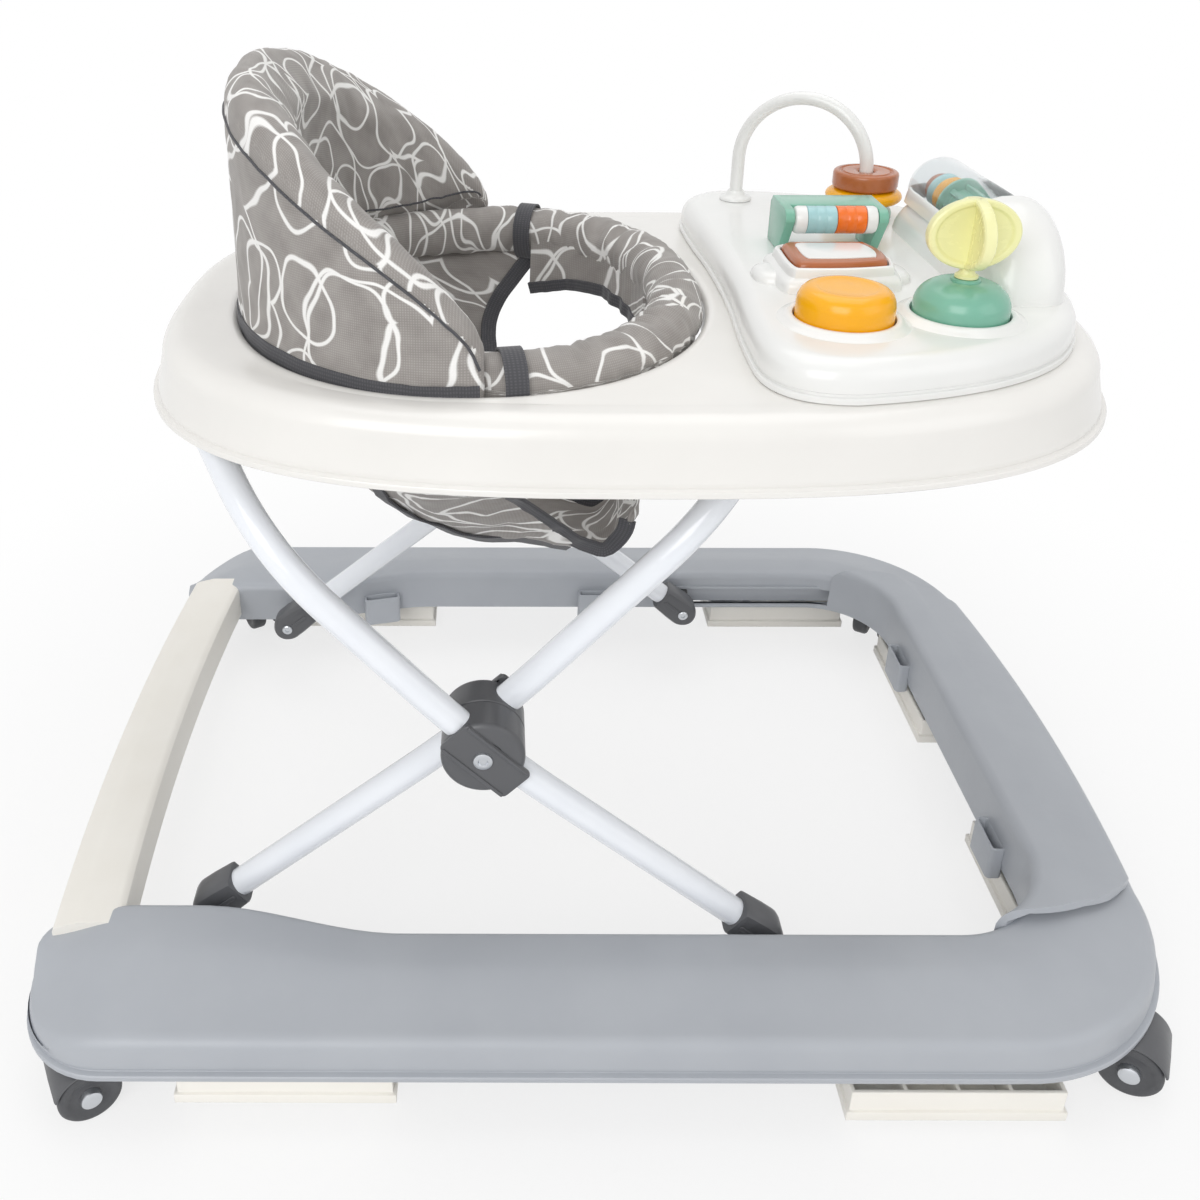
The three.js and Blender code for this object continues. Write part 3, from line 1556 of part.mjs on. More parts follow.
// Seat: a wrap-round back pad, a ring pad round the front of the opening, and a hung sling
const padMiddle = padGap + backThick / 2;
const backEndAngle = Math.PI * backOpenShare;

// Section of the back pad: shares of its half thickness, of the way up, and of the crown's radius
const backSectionShares = [
  [1, 0, 0],
  [1, 0.5, 0],
  [0.95, 1, 1],
  [0.55, 1, 0.25],
  [0, 1, 0],
  [-0.55, 1, 0.25],
  [-0.95, 1, 1],
  [-0.8, 0.5, 0],
  [-0.5, 0, 0],
];
const endRoundPower = 12;
const endRoundShare = 0.35;
const leanShare = 0.4;
const padEndTurn = 0.05;

function buildBackrest() {
  const rings = [];
  const low = backBottom;
  for (let i = 0; i <= backSteps; i += 1) {
    const share = (2 * i) / backSteps - 1;
    const angle = Math.PI + share * (Math.PI - backEndAngle);
    const rearShare = Math.cos((share * Math.PI) / 2);
    const endRound = Math.min(1, Math.sqrt(1 - Math.abs(share) ** endRoundPower) + endRoundShare);
    const top = backEndTop + (backTop - backEndTop) * rearShare ** backFall;
    const half = (backThick / 2) * endRound;
    const [cx, cy] = openingOval(-padMiddle, angle);
    const [ox, oy] = openingOval(-padMiddle + 1, angle);
    const out = new THREE.Vector2(ox - cx, oy - cy).normalize();
    const lean = backLean * rearShare;
    const ring = backSectionShares.map(([across, up, below]) => {
      const z = low + (top - low) * up - half * below;
      const back = (leanShare * lean * (z - low)) / (top - low);
      return new THREE.Vector3(cx + out.x * half * across + back, cy + out.y * half * across, z);
    });
    rings.push(ring);
  }
  return loft(rings);
}

function buildRingPad() {
  const rings = [];
  const middle = padGap + ringPadWidth / 2;
  for (let i = 0; i <= padSteps; i += 1) {
    const share = (2 * i) / padSteps - 1;
    const angle = share * (backEndAngle - padEndTurn);
    const [cx, cy] = openingOval(-middle, angle);
    const [ox, oy] = openingOval(-middle + 1, angle);
    const out = new THREE.Vector2(ox - cx, oy - cy).normalize();
    const ring = [];
    for (let j = 0; j < padSides; j += 1) {
      const turn = (Math.PI * (2 * j + 1)) / padSides;
      const offset = (ringPadWidth / 2) * Math.cos(turn);
      const z = ringPadTop - ringPadHeight / 2 + (ringPadHeight / 2) * Math.sin(turn);
      ring.push(new THREE.Vector3(cx + out.x * offset, cy + out.y * offset, z));
    }
    rings.push(ring);
  }
  return loft(rings);
}

// The sling hangs from the back, runs under the child and rises through the crotch to the front
function buildSling() {
  const top = ringPadTop - ringPadHeight - clearance;
  const path = new THREE.CatmullRomCurve3([
    new THREE.Vector3(seatRearX, 0, backBottom - clearance - seatClothThick / 8),
    new THREE.Vector3(seatRearX + seatDrop, 0, (seatBottom + top) / 2),
    new THREE.Vector3(seatRearX + 3 * seatDrop, 0, seatBottom + seatDrop),
    new THREE.Vector3((seatRearX + seatFrontX) / 2, 0, seatBottom),
    new THREE.Vector3(seatFrontX - seatDrop, 0, seatBottom - seatDrop / 2),
    new THREE.Vector3(seatFrontX - seatDrop / 2, 0, (seatBottom + top) / 2),
    new THREE.Vector3(seatFrontX, 0, top - clearance),
  ]);
  const rearWidths = [seatRearWidth, seatMidWidth, seatMidWidth];
  const widths = [...rearWidths, seatThighWidth, seatCrotchWidth, seatFrontWidth];
  const rings = [];
  for (let i = 0; i <= slingSteps; i += 1) {
    const share = i / slingSteps;
    const p = path.getPointAt(share);
    const ahead = path.getTangentAt(share);
    const up = new THREE.Vector3(-ahead.z, 0, ahead.x);
    const slot = share * (widths.length - 1);
    const k = Math.min(Math.floor(slot), widths.length - 2);
    const half = (widths[k] + (widths[k + 1] - widths[k]) * smooth(slot - k)) / 2;
    const upper = [];
    const lower = [];
    for (let j = 0; j <= slingAcross; j += 1) {
      const v = (2 * j) / slingAcross - 1;
      const bowl = (2 * seatBowl * v * v * half) / seatMidWidth;
      const lift = (seatFold * Math.cos(2 * Math.PI * v) + bowl) * Math.sin(Math.PI * share);
      const edge = p.clone().addScaledVector(up, lift);
      edge.y = half * v;
      upper.push(edge.clone().addScaledVector(up, seatClothThick / 2));
      lower.push(edge.clone().addScaledVector(up, -seatClothThick / 2));
    }
    rings.push([...upper, ...lower.reverse()]);
  }
  return loft(rings);
}

// Assembly
const walker = new THREE.Group();
const base = new THREE.Group();
base.add(piece("base_shell", buildBaseShell(), "rail"));
base.add(piece("rear_bar", rearBarLoft(0), "ivory"));
stopperPlaces().forEach((place) => base.add(piece("stopper_" + place.name, buildStopper(place), "ivory")));
casterPlaces().forEach((place) => {
  const caster = new THREE.Group();
  caster.add(piece("caster_housing_" + place.name, buildHousing(place), "dark"));
  caster.add(piece("caster_axle_" + place.name, buildAxle(place), "steel"));
  caster.add(piece("caster_wheel_" + place.name + "_a", buildWheel(place, -1), "dark"));
  caster.add(piece("caster_wheel_" + place.name + "_b", buildWheel(place, 1), "dark"));
  base.add(caster);
});
walker.add(base);

const frame = new THREE.Group();
frame.add(piece("frame_tube_outer", buildOuterTube(), "tube"));
frame.add(piece("frame_tube_inner", buildInnerTube(), "tube"));
[
  ["near", -1],
  ["far", 1],
].forEach(([name, side]) => {
  frame.add(piece("hub_cover_outer_" + name, buildHubCover(side, true), "dark"));
  frame.add(piece("hub_cover_inner_" + name, buildHubCover(side, false), "dark"));
  frame.add(piece("hub_bolt_" + name, buildHubBolt(side), "steel"));
  frame.add(piece("foot_front_" + name, buildFoot(side, true), "dark"));
  frame.add(piece("foot_rear_" + name, buildFoot(side, false), "dark"));
});
walker.add(frame);

const tray = new THREE.Group();
tray.add(piece("main_tray", buildMainTray(), "tray"));
tray.add(piece("bar_bearing_near", buildBearing(-1), "dark"));
tray.add(piece("bar_bearing_far", buildBearing(1), "dark"));
tray.add(piece("slide_track_near", buildTrack(-1), "dark"));
tray.add(piece("slide_track_far", buildTrack(1), "dark"));
tray.add(piece("seat_backrest", buildBackrest(), "fabric"));
tray.add(piece("seat_ring_pad", buildRingPad(), "fabric"));
tray.add(piece("seat_sling", buildSling(), "fabric"));
walker.add(tray);

const toys = new THREE.Group();
toys.add(piece("toy_tray_shell", buildToyShell(), "white"));
toys.add(piece("push_button", buildButton(), "yellow"));
toys.add(piece("propeller_dome", buildDome(), "green"));
toys.add(piece("propeller", buildPropeller(), "lemon"));
toys.add(piece("toy_arch", buildArch(), "white"));
toys.add(piece("ring_seat", buildRingSeat(), "green"));
toys.add(piece("loose_ring", buildRing(), "yellow"));
toys.add(piece("loose_disc", buildDisc(), "brown"));
toys.add(piece("rocker_key", buildKey(), "brown"));
toys.add(piece("roller_flap", buildFlap(), "green"));
toys.add(piece("roller_core", buildRollerCore(), "white"));
toys.add(piece("roller_band_blue", buildRollerBand(-1), "blue"));
toys.add(piece("roller_band_orange", buildRollerBand(1), "orange"));
toys.add(piece("drum_window", buildDrumWindow(), "clear"));
toys.add(piece("drum_spool", buildDrumCore(), "green"));
walker.add(toys);

export default walker;
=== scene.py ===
"""Folding baby walker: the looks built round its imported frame.

The rigid pieces are modelled again at full roundness over their nodes, the seat is made as cloth
and padding, and every surface gets the finish of the real material.
"""

import logging
from collections.abc import Callable, Iterator, Sequence
from contextlib import contextmanager
from dataclasses import dataclass
from enum import Enum
from math import acos, atan2, copysign, cos, exp, pi, radians, sin, sqrt

import bmesh
import bpy
from mathutils import Matrix, Vector, noise


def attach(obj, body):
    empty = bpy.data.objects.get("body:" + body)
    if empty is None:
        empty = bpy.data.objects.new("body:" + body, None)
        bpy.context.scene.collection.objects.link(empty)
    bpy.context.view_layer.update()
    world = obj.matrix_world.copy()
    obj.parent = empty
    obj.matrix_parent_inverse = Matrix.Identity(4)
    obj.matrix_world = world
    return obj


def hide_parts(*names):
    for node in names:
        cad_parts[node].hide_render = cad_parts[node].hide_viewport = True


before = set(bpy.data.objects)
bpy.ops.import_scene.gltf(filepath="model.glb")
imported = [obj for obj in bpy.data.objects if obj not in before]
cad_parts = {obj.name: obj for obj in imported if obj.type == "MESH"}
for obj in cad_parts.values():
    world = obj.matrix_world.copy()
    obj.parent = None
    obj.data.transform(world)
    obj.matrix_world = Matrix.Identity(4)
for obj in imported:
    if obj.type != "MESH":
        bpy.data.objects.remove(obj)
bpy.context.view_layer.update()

MM = 0.001
MERGE = 0.01 * MM
log = logging.getLogger("walker")

Plan = tuple[float, float]
Place = tuple[float, float, float]
Round = tuple[float, float, float, float]
Station = tuple[Vector, Vector, float]
Ring = list[Vector]
Piece = bpy.types.Object
Tree = bpy.types.NodeTree
Socket = bpy.types.NodeSocket
Inputs = dict[str | int, object]


class Axis(Enum):
    """Axis that a turned piece is spun about."""

    X = (1.0, 0.0, 0.0)
    Y = (0.0, 1.0, 0.0)
    Z = (0.0, 0.0, 1.0)


class Side(Enum):
    """Near side with the lower Y, or far side."""

    NEAR = -1
    FAR = 1

    @property
    def word(self) -> str:
        """The side's name in lower case."""
        return self.name.lower()


# ---- mesh work


def mm(x: float, y: float, z: float) -> Vector:
    """A point given in millimetres, in metres."""
    return Vector((x, y, z)) * MM


def take(piece: Piece) -> None:
    """Makes the piece the only selected object, and the active one.

    Args:
        piece: the mesh object.
    """
    bpy.ops.object.select_all(action="DESELECT")
    piece.select_set(True)
    bpy.context.view_layer.objects.active = piece


@contextmanager
def editing(piece: Piece, action: str = "DESELECT") -> Iterator[bmesh.types.BMesh]:
    """Edit mode on one piece.

    Args:
        piece: the mesh object to edit.
        action: what select_all does at first.

    Yields:
        The piece's edit mesh.
    """
    take(piece)
    bpy.ops.object.mode_set(mode="EDIT")
    bpy.ops.mesh.select_mode(type="VERT")
    bpy.ops.mesh.select_all(action=action)
    yield bmesh.from_edit_mesh(piece.data)
    bmesh.update_edit_mesh(piece.data)
    bpy.ops.object.mode_set(mode="OBJECT")


def outwards() -> None:
    """Turns all normals of the mesh in edit mode outwards."""
    bpy.ops.mesh.select_all(action="SELECT")
    bpy.ops.mesh.normals_make_consistent(inside=False)


def cleaned() -> None:
    """Merges doubled vertices of the mesh in edit mode and turns its normals outwards."""
    bpy.ops.mesh.select_all(action="SELECT")
    bpy.ops.mesh.remove_doubles(threshold=MERGE)
    outwards()


def begun(name: str, points: Sequence[Vector]) -> Piece:
    """A circle primitive whose vertices stand at the given points.

    Args:
        name: the piece's name.
        points: one place for each vertex, in metres. A single point keeps a single vertex.

    Returns:
        The new object, with a vertex layer that holds each vertex's place in the ring.
    """
    bpy.ops.object.select_all(action="DESELECT")
    bpy.ops.mesh.primitive_circle_add(vertices=max(len(points), 3), radius=MM)
    piece = bpy.context.object
    piece.name = name
    piece.data.name = name
    if not piece.data.uv_layers:
        piece.data.uv_layers.new(name="UVMap")
    with editing(piece) as shape:
        shape.verts.ensure_lookup_table()
        for extra in list(shape.verts)[len(points):]:
            extra.select = True
        shape.select_flush_mode()
        if len(points) < 3:
            bmesh.update_edit_mesh(piece.data)
            bpy.ops.mesh.delete(type="VERT")
            shape = bmesh.from_edit_mesh(piece.data)
        shape.verts.layers.int.new("place")
        shape.verts.layers.int.new("station")
        place = shape.verts.layers.int["place"]
        shape.verts.ensure_lookup_table()
        for index, point in enumerate(points):
            shape.verts[index].co = point
            shape.verts[index][place] = index
    return piece


def newest(shape: bmesh.types.BMesh, count: int) -> list[bmesh.types.BMVert]:
    """The selected vertices of the last extrusion, which stand at the end of the mesh.

    Args:
        shape: the edit mesh.
        count: how many vertices a station has.

    Returns:
        The new vertices.
    """
    shape.verts.ensure_lookup_table()
    fresh = shape.verts[len(shape.verts) - count :]
    return fresh if all(v.select for v in fresh) else [v for v in shape.verts if v.select]


def extruded(piece: Piece, rings: Sequence[Ring]) -> None:
    """Extrudes the selected vertices from station to station, in edit mode.

    Args:
        piece: a piece that begun() made.
        rings: the stations after the first, with as many points each.
    """
    for number, ring in enumerate(rings, start=1):
        bpy.ops.mesh.extrude_region_move()
        shape = bmesh.from_edit_mesh(piece.data)
        place, station = (shape.verts.layers.int[key] for key in ("place", "station"))
        for vertex in newest(shape, len(ring)):
            vertex.co = ring[vertex[place]]
            vertex[station] = number


def loft(name: str, rings: Sequence[Ring], closed: bool = False, capped: bool = True) -> Piece:
    """Extrudes a ring of vertices from station to station.

    Args:
        name: the piece's name.
        rings: the stations, each with the same number of points, in metres.
        closed: whether the last station joins the first.
        capped: whether the two open ends are filled.

    Returns:
        The closed or open piece, with its normals outwards.
    """
    piece = begun(name, rings[0])
    with editing(piece, "SELECT"):
        extruded(piece, [*rings[1:], rings[0]] if closed else rings[1:])
        if capped and not closed and len(rings[0]) > 2:
            bpy.ops.mesh.edge_face_add()
            bpy.ops.mesh.select_all(action="DESELECT")
            shape = bmesh.from_edit_mesh(piece.data)
            station = shape.verts.layers.int["station"]
            for vertex in shape.verts:
                vertex.select = vertex[station] == 0
            shape.select_flush_mode()
            bmesh.update_edit_mesh(piece.data)
            bpy.ops.mesh.edge_face_add()
        cleaned()
    return piece


def open_loft(name: str, rows: Sequence[Ring]) -> Piece:
    """Lofts an open row of points from station to station.

    Args:
        name: the piece's name.
        rows: the stations, each with the same number of points, in metres.

    Returns:
        The sheet.
    """
    piece = begun(name, rows[0])
    with editing(piece) as shape:
        place = shape.verts.layers.int["place"]
        for edge in shape.edges:
            one, two = (v[place] for v in edge.verts)
            edge.select = abs(one - two) > 1
        bmesh.update_edit_mesh(piece.data)
        bpy.ops.mesh.select_mode(type="EDGE")
        bpy.ops.mesh.delete(type="EDGE_FACE")
        bpy.ops.mesh.select_mode(type="VERT")
        bpy.ops.mesh.select_all(action="SELECT")
        extruded(piece, rows[1:])
        outwards()
    return piece


def stacked(name: str, levels: Sequence[tuple[Sequence[Plan], float]], closed: bool = False) -> Piece:
    """Lofts outlines in plan from height to height, each given with its height, in millimetres."""
    return loft(name, [[mm(x, y, z) for x, y in plan] for plan, z in levels], closed)


def lathe(
    name: str,
    profile: Sequence[Plan],
    centre: Place = (0, 0, 0),
    axis: Axis = Axis.Z,
    steps: int = 56,
) -> Piece:
    """Spins a profile once round an axis.

    Args:
        name: the piece's name.
        profile: radius and place along the axis of each point, in millimetres.
        centre: a point of the axis, in millimetres.
        axis: the direction of the axis.
        steps: how many steps the full turn has.

    Returns:
        The turned piece.
    """
    start = Vector((0, 1, 0) if axis is Axis.X else (1, 0, 0))
    middle, way = Vector(centre), Vector(axis.value)
    piece = loft(name, [[(middle + start * r + way * h) * MM] for r, h in profile], capped=False)
    with editing(piece, "SELECT"):
        bpy.ops.mesh.spin(steps=steps, angle=2 * pi, center=middle * MM, axis=axis.value)
        cleaned()
    return piece


def apply(piece: Piece, kind: str, **settings: object) -> Piece:
    """Adds a modifier with its settings and applies it.

    Args:
        piece: the mesh object.
        kind: the modifier's type.
        settings: the modifier's own values.

    Returns:
        The same piece.
    """
    take(piece)
    modifier = piece.modifiers.new(kind.title(), kind)
    for key, value in settings.items():
        setattr(modifier, key, value)
    bpy.ops.object.modifier_apply(modifier=modifier.name)
    return piece


def bevelled(piece: Piece, width: float, segments: int = 3, angle: float = 32) -> Piece:
    """Rounds the edges sharper than an angle, with the width in millimetres."""
    sharp = radians(angle)
    return apply(piece, "BEVEL", width=width * MM, segments=segments, limit_method="ANGLE", angle_limit=sharp)


def plate(name: str, outline: Sequence[Plan], low: float, high: float, edge: float = 0) -> Piece:
    """A plate from an outline in plan and two heights, with the radius of its rounded edges or zero."""
    piece = stacked(name, [(outline, low), (outline, high)])
    return bevelled(piece, edge) if edge else piece


def curved(start: Vector, at: Vector, end: Vector, t: float) -> Vector:
    """A point of the curve that leaves one end and reaches the other by way of a corner."""
    return start * (1 - t) ** 2 + at * 2 * t * (1 - t) + end * t**2


def rounded(points: Sequence[Plan], radii: Sequence[float], steps: int = 5) -> list[Plan]:
    """Rounds the corners of a closed outline.

    Args:
        points: the corners in order.
        radii: one radius for each corner; zero keeps it sharp.
        steps: how many steps each rounded corner has.

    Returns:
        The outline with its corners rounded.
    """
    out: list[Plan] = []
    for i, (corner, radius) in enumerate(zip(points, radii)):
        at = Vector(corner)
        if radius <= 0:
            out.append((at.x, at.y))
            continue
        back = Vector(points[i - 1]) - at
        ahead = Vector(points[(i + 1) % len(points)]) - at
        reach = min(radius, back.length * 0.49, ahead.length * 0.49)
        start = at + back.normalized() * reach
        end = at + ahead.normalized() * reach
        out += [tuple(curved(start, at, end, k / steps)) for k in range(steps + 1)]
    return out


def box_plan(length: float, width: float, radius: float, x: float = 0, y: float = 0) -> list[Plan]:
    """A rounded rectangle in plan round a middle point.

    Args:
        length: size along X.
        width: size along Y.
        radius: radius of the corners.
        x: place of the middle.
        y: the same, across.

    Returns:
        The outline's points.
    """
    a, b = length / 2, width / 2
    corners = [(x - a, y - b), (x + a, y - b), (x + a, y + b), (x - a, y + b)]
    return rounded(corners, [radius] * 4)


def arc(radius: float, start: float, sweep: float, steps: int) -> list[Plan]:
    """Points of an arc round the origin, from an angle and over a sweep in degrees."""
    turns = [radians(start + sweep * i / steps) for i in range(steps + 1)]
    return [(radius * cos(a), radius * sin(a)) for a in turns]


def quarter(x: float, top: float, radius: float, degrees: Sequence[float]) -> list[Plan]:
    """Points of a quarter round, from a wall at 0 degrees to the top at 90."""
    turns = [radians(a) for a in degrees]
    return [(x + radius * (1 - cos(a)), top - radius * (1 - sin(a))) for a in turns]


def stand(x: float, y: float, z: float = 0, turn: float = 0, axis: str = "Z") -> Matrix:
    """A turn about an axis, in radians, and then a move by millimetres."""
    return Matrix.Translation(mm(x, y, z)) @ Matrix.Rotation(turn, 4, axis)


def moved(piece: Piece, matrix: Matrix) -> Piece:
    """Moves the mesh itself, so that the object stays at the origin.

    Args:
        piece: the mesh object.
        matrix: the turn and the move, or a mirror.

    Returns:
        The same piece.
    """
    piece.data.transform(matrix)
    if matrix.determinant() < 0:
        piece.data.flip_normals()
    return piece


def copied(piece: Piece, name: str, matrix: Matrix | None = None) -> Piece:
    """A copy of the piece with its own mesh, moved by the matrix.

    Args:
        piece: the mesh object to copy.
        name: the copy's name.
        matrix: where the copy goes, or None.

    Returns:
        The copy.
    """
    twin = piece.copy()
    twin.data = piece.data.copy()
    twin.name = name
    twin.data.name = name
    bpy.context.collection.objects.link(twin)
    return moved(twin, matrix) if matrix else twin


def combined(piece: Piece, *tools: Piece, way: str = "DIFFERENCE") -> Piece:
    """Cuts the tools out of the piece, or joins them to it, and removes them.

    Args:
        piece: the mesh object that stays.
        tools: the mesh objects that are used up.
        way: DIFFERENCE or UNION.

    Returns:
        The same piece.
    """
    for tool in tools:
        apply(piece, "BOOLEAN", object=tool, operation=way, solver="EXACT")
        bpy.data.objects.remove(tool)
    with editing(piece, "SELECT"):
        bpy.ops.mesh.remove_doubles(threshold=MERGE)
        bpy.ops.mesh.dissolve_degenerate(threshold=MERGE)
    return piece


def refined(name: str, node: str, edge: float, segments: int = 2) -> Piece:
    """A copy of a node's mesh with merged vertices, clean faces and rounded edges.

    Args:
        name: the new piece's name.
        node: the node that it is copied from.
        edge: radius of the rounded edges, in millimetres.
        segments: how many faces each rounded edge has.

    Returns:
        The new piece, free of any parent.
    """
    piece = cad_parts[node].copy()
    piece.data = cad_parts[node].data.copy()
    piece.parent = None
    for key in list(piece.keys()):
        del piece[key]
    piece.name = name
    piece.data.name = name
    bpy.context.collection.objects.link(piece)
    with editing(piece, "SELECT"):
        bpy.ops.mesh.remove_doubles(threshold=MERGE)
        bpy.ops.mesh.dissolve_limited(angle_limit=radians(1))
    return bevelled(piece, edge, segments)


def merged(pieces: Sequence[Piece], name: str) -> Piece:
    """Joins several pieces to one object with a name.

    Args:
        pieces: the mesh objects, which are used up.
        name: the whole's name.

    Returns:
        The whole.
    """
    take(pieces[0])
    for piece in pieces[1:]:
        piece.select_set(True)
    bpy.ops.object.join()
    whole = bpy.context.object
    whole.name = whole.data.name = name
    return whole


def smoothed(piece: Piece, angle: float = 34) -> Piece:
    """Shades the piece smooth, with edges sharper than the angle kept.

    Args:
        piece: the mesh object.
        angle: the angle, in degrees.

    Returns:
        The same piece.
    """
    take(piece)
    bpy.ops.object.shade_smooth_by_angle(angle=radians(angle))
    return piece


def swept(name: str, path: Sequence[Vector], radius: float, sides: int = 24, closed: bool = False) -> Piece:
    """Lofts a round section along a path.

    Args:
        name: the piece's name.
        path: the centre line's points, in metres.
        radius: the section's radius, in millimetres.
        sides: how many sides the section has.
        closed: whether the path is a loop.

    Returns:
        The round bar or tube.
    """
    rings: list[Ring] = []
    out = None
    count = len(path)
    for i, point in enumerate(path):
        before = path[i - 1] if closed or i else path[0]
        after = path[(i + 1) % count] if closed or i < count - 1 else path[-1]
        ahead = (after - before).normalized()
        if out is None:
            out = ahead.orthogonal()
        out = (out - ahead * out.dot(ahead)).normalized()
        up = ahead.cross(out)
        ring = []
        for k in range(sides):
            turn = 2 * pi * k / sides
            ring.append(point + (out * cos(turn) + up * sin(turn)) * radius * MM)
        rings.append(ring)
    return loft(name, rings, closed=closed)


def blended(t: float) -> float:
    """Smooth step from zero to one."""
    t = min(max(t, 0.0), 1.0)
    return t * t * (3 - 2 * t)


def spread_over(start: float, end: float, count: int) -> list[float]:
    """Evenly spaced values, both ends included."""
    return [start + (end - start) * i / (count - 1) for i in range(count)]


def run_lengths(points: Sequence[Vector]) -> list[float]:
    """Length of the path up to each of its points.

    Args:
        points: the path's points.

    Returns:
        One length for each point, from zero on.
    """
    runs = [0.0]
    for one, two in zip(points, points[1:]):
        runs.append(runs[-1] + (two - one).length)
    return runs


def spline(points: Sequence[Vector], steps: int) -> list[Vector]:
    """A smooth line through the points, sampled by its length.

    Args:
        points: the points it passes.
        steps: how many equal steps the result has.

    Returns:
        The sampled points.
    """
    dense: list[Vector] = []
    ends = [points[0] * 2 - points[1], *points, points[-1] * 2 - points[-2]]
    for i in range(1, len(ends) - 2):
        a, b, c, d = ends[i - 1 : i + 3]
        square, cube = a * 2 - b * 5 + c * 4 - d, b * 3 - a - c * 3 + d
        for t in (k / 24 for k in range(24)):
            dense.append((b * 2 + (c - a) * t + square * t**2 + cube * t**3) / 2)
    dense.append(points[-1].copy())
    runs = run_lengths(dense)
    out: list[Vector] = []
    k = 0
    for i in range(steps + 1):
        want = runs[-1] * i / steps
        while k < len(runs) - 2 and runs[k + 1] < want:
            k += 1
        share = (want - runs[k]) / max(runs[k + 1] - runs[k], 1e-12)
        out.append(dense[k].lerp(dense[k + 1], share))
    return out


# ---- finishes


def colour(code: str) -> tuple[float, float, float, float]:
    """Linear colour of an sRGB hex code.

    Args:
        code: six hex digits.

    Returns:
        Red, green, blue and one.
    """
    parts = [int(code[i : i + 2], 16) / 255 for i in (0, 2, 4)]
    linear = [c / 12.92 if c <= 0.04045 else ((c + 0.055) / 1.055) ** 2.4 for c in parts]
    return (*linear, 1.0)


def feed(tree: Tree, node: bpy.types.Node, inputs: Inputs) -> None:
    """Links output sockets to a node's inputs, and sets plain values on them.

    Args:
        tree: the node tree.
        node: the node whose inputs are meant.
        inputs: values, or output sockets to link from, by input name or number.
    """
    for key, value in inputs.items():
        if isinstance(value, Socket):
            tree.links.new(value, node.inputs[key])
        else:
            node.inputs[key].default_value = value


def add(tree: Tree, kind: str, inputs: Inputs | None = None, **settings: object) -> bpy.types.Node:
    """Adds a shader node with its settings and inputs.

    Args:
        tree: the node tree.
        kind: the node's type, without its ShaderNode in front.
        inputs: values, or output sockets to link from, by input name or number.
        settings: the node's own properties.

    Returns:
        The new node.
    """
    made = tree.nodes.new(f"ShaderNode{kind}")
    for key, value in settings.items():
        setattr(made, key, value)
    feed(tree, made, inputs or {})
    return made


def noisy(tree: Tree, where: Socket, size_mm: float, detail: float) -> Socket:
    """Noise with a feature size in millimetres."""
    inputs = {"Vector": where, "Scale": 1 / (size_mm * MM), "Detail": detail}
    return add(tree, "TexNoise", inputs).outputs["Fac"]


def ramp(
    tree: Tree, value: Socket, low: float, high: float, start: float = 0, end: float = 1, **kind: str
) -> Socket:
    """Spreads a value between start and end out to between low and high."""
    inputs = {"Value": value, "From Min": start, "From Max": end, "To Min": low, "To Max": high}
    return add(tree, "MapRange", inputs, **kind).outputs["Result"]


def mixed(tree: Tree, share: object, one: object, two: object, **kind: str) -> Socket:
    """Mixes two colours by a share, each a value or a socket."""
    return add(tree, "Mix", {"Factor": share, 6: one, 7: two}, data_type="RGBA", **kind).outputs[2]


def calculated(tree: Tree, operation: str, *values: object) -> Socket:
    """Result of a sum with one or two values or sockets."""
    return add(tree, "Math", dict(enumerate(values)), operation=operation).outputs[0]


def bumped(tree: Tree, height: Socket, strength: float, depth_mm: float, under: Socket | None = None) -> Socket:
    """Normal of a relief with a depth in millimetres, laid over another normal if there is one.

    Args:
        tree: the node tree.
        height: the relief's output.
        strength: share of the relief that shows.
        depth_mm: the relief's depth.
        under: the other normal, or None.

    Returns:
        The normal's output.
    """
    inputs = {"Strength": strength, "Distance": depth_mm * MM, "Height": height}
    if under is not None:
        inputs["Normal"] = under
    return add(tree, "Bump", inputs).outputs[0]


def mottled(tree: Tree, where: Socket, shade: str, other: str, size_mm: float, share: float) -> Socket:
    """Mixes a second tone in by a share, in soft patches of a size in millimetres."""
    amount = ramp(tree, noisy(tree, where, size_mm, 4.0), 0, share, 0.35, 0.7)
    return mixed(tree, amount, colour(shade), colour(other))


def woven(tree: Tree, where: Socket, thread_mm: float) -> Socket:
    """Height of a plain weave: warp over weft, turn about.

    Args:
        tree: the node tree.
        where: the coordinates' output, in metres along the cloth.
        thread_mm: distance between threads.

    Returns:
        The height output.
    """
    # A band wave's period is 0.314 divided by its scale
    bands = {"Vector": where, "Scale": 0.314 / (thread_mm * MM), "Distortion": 0.0}
    sets = [add(tree, "TexWave", bands, bands_direction=way).outputs["Fac"] for way in ("X", "Y")]
    return calculated(tree, "MULTIPLY", *sets)


@dataclass(frozen=True)
class Finish:
    """What a surface is made of, with its colour slot and its main sRGB hex code."""

    name: str
    slot: str
    shade: str

    def material(self) -> bpy.types.Material:
        """Builds the material once and returns it after that.

        Returns:
            The material.
        """
        if self.name in bpy.data.materials:
            return bpy.data.materials[self.name]
        material = bpy.data.materials.new(self.name)
        material.use_nodes = True
        material.diffuse_color = colour(self.shade)
        tree = material.node_tree
        shader = tree.nodes["Principled BSDF"]
        feed(tree, shader, {"Base Color": colour(self.shade)})
        feed(tree, shader, self.inputs(tree))
        return material

    def inputs(self, tree: Tree) -> Inputs:
        """The shader's own inputs, from nodes added to the tree or as plain numbers."""
        return {}


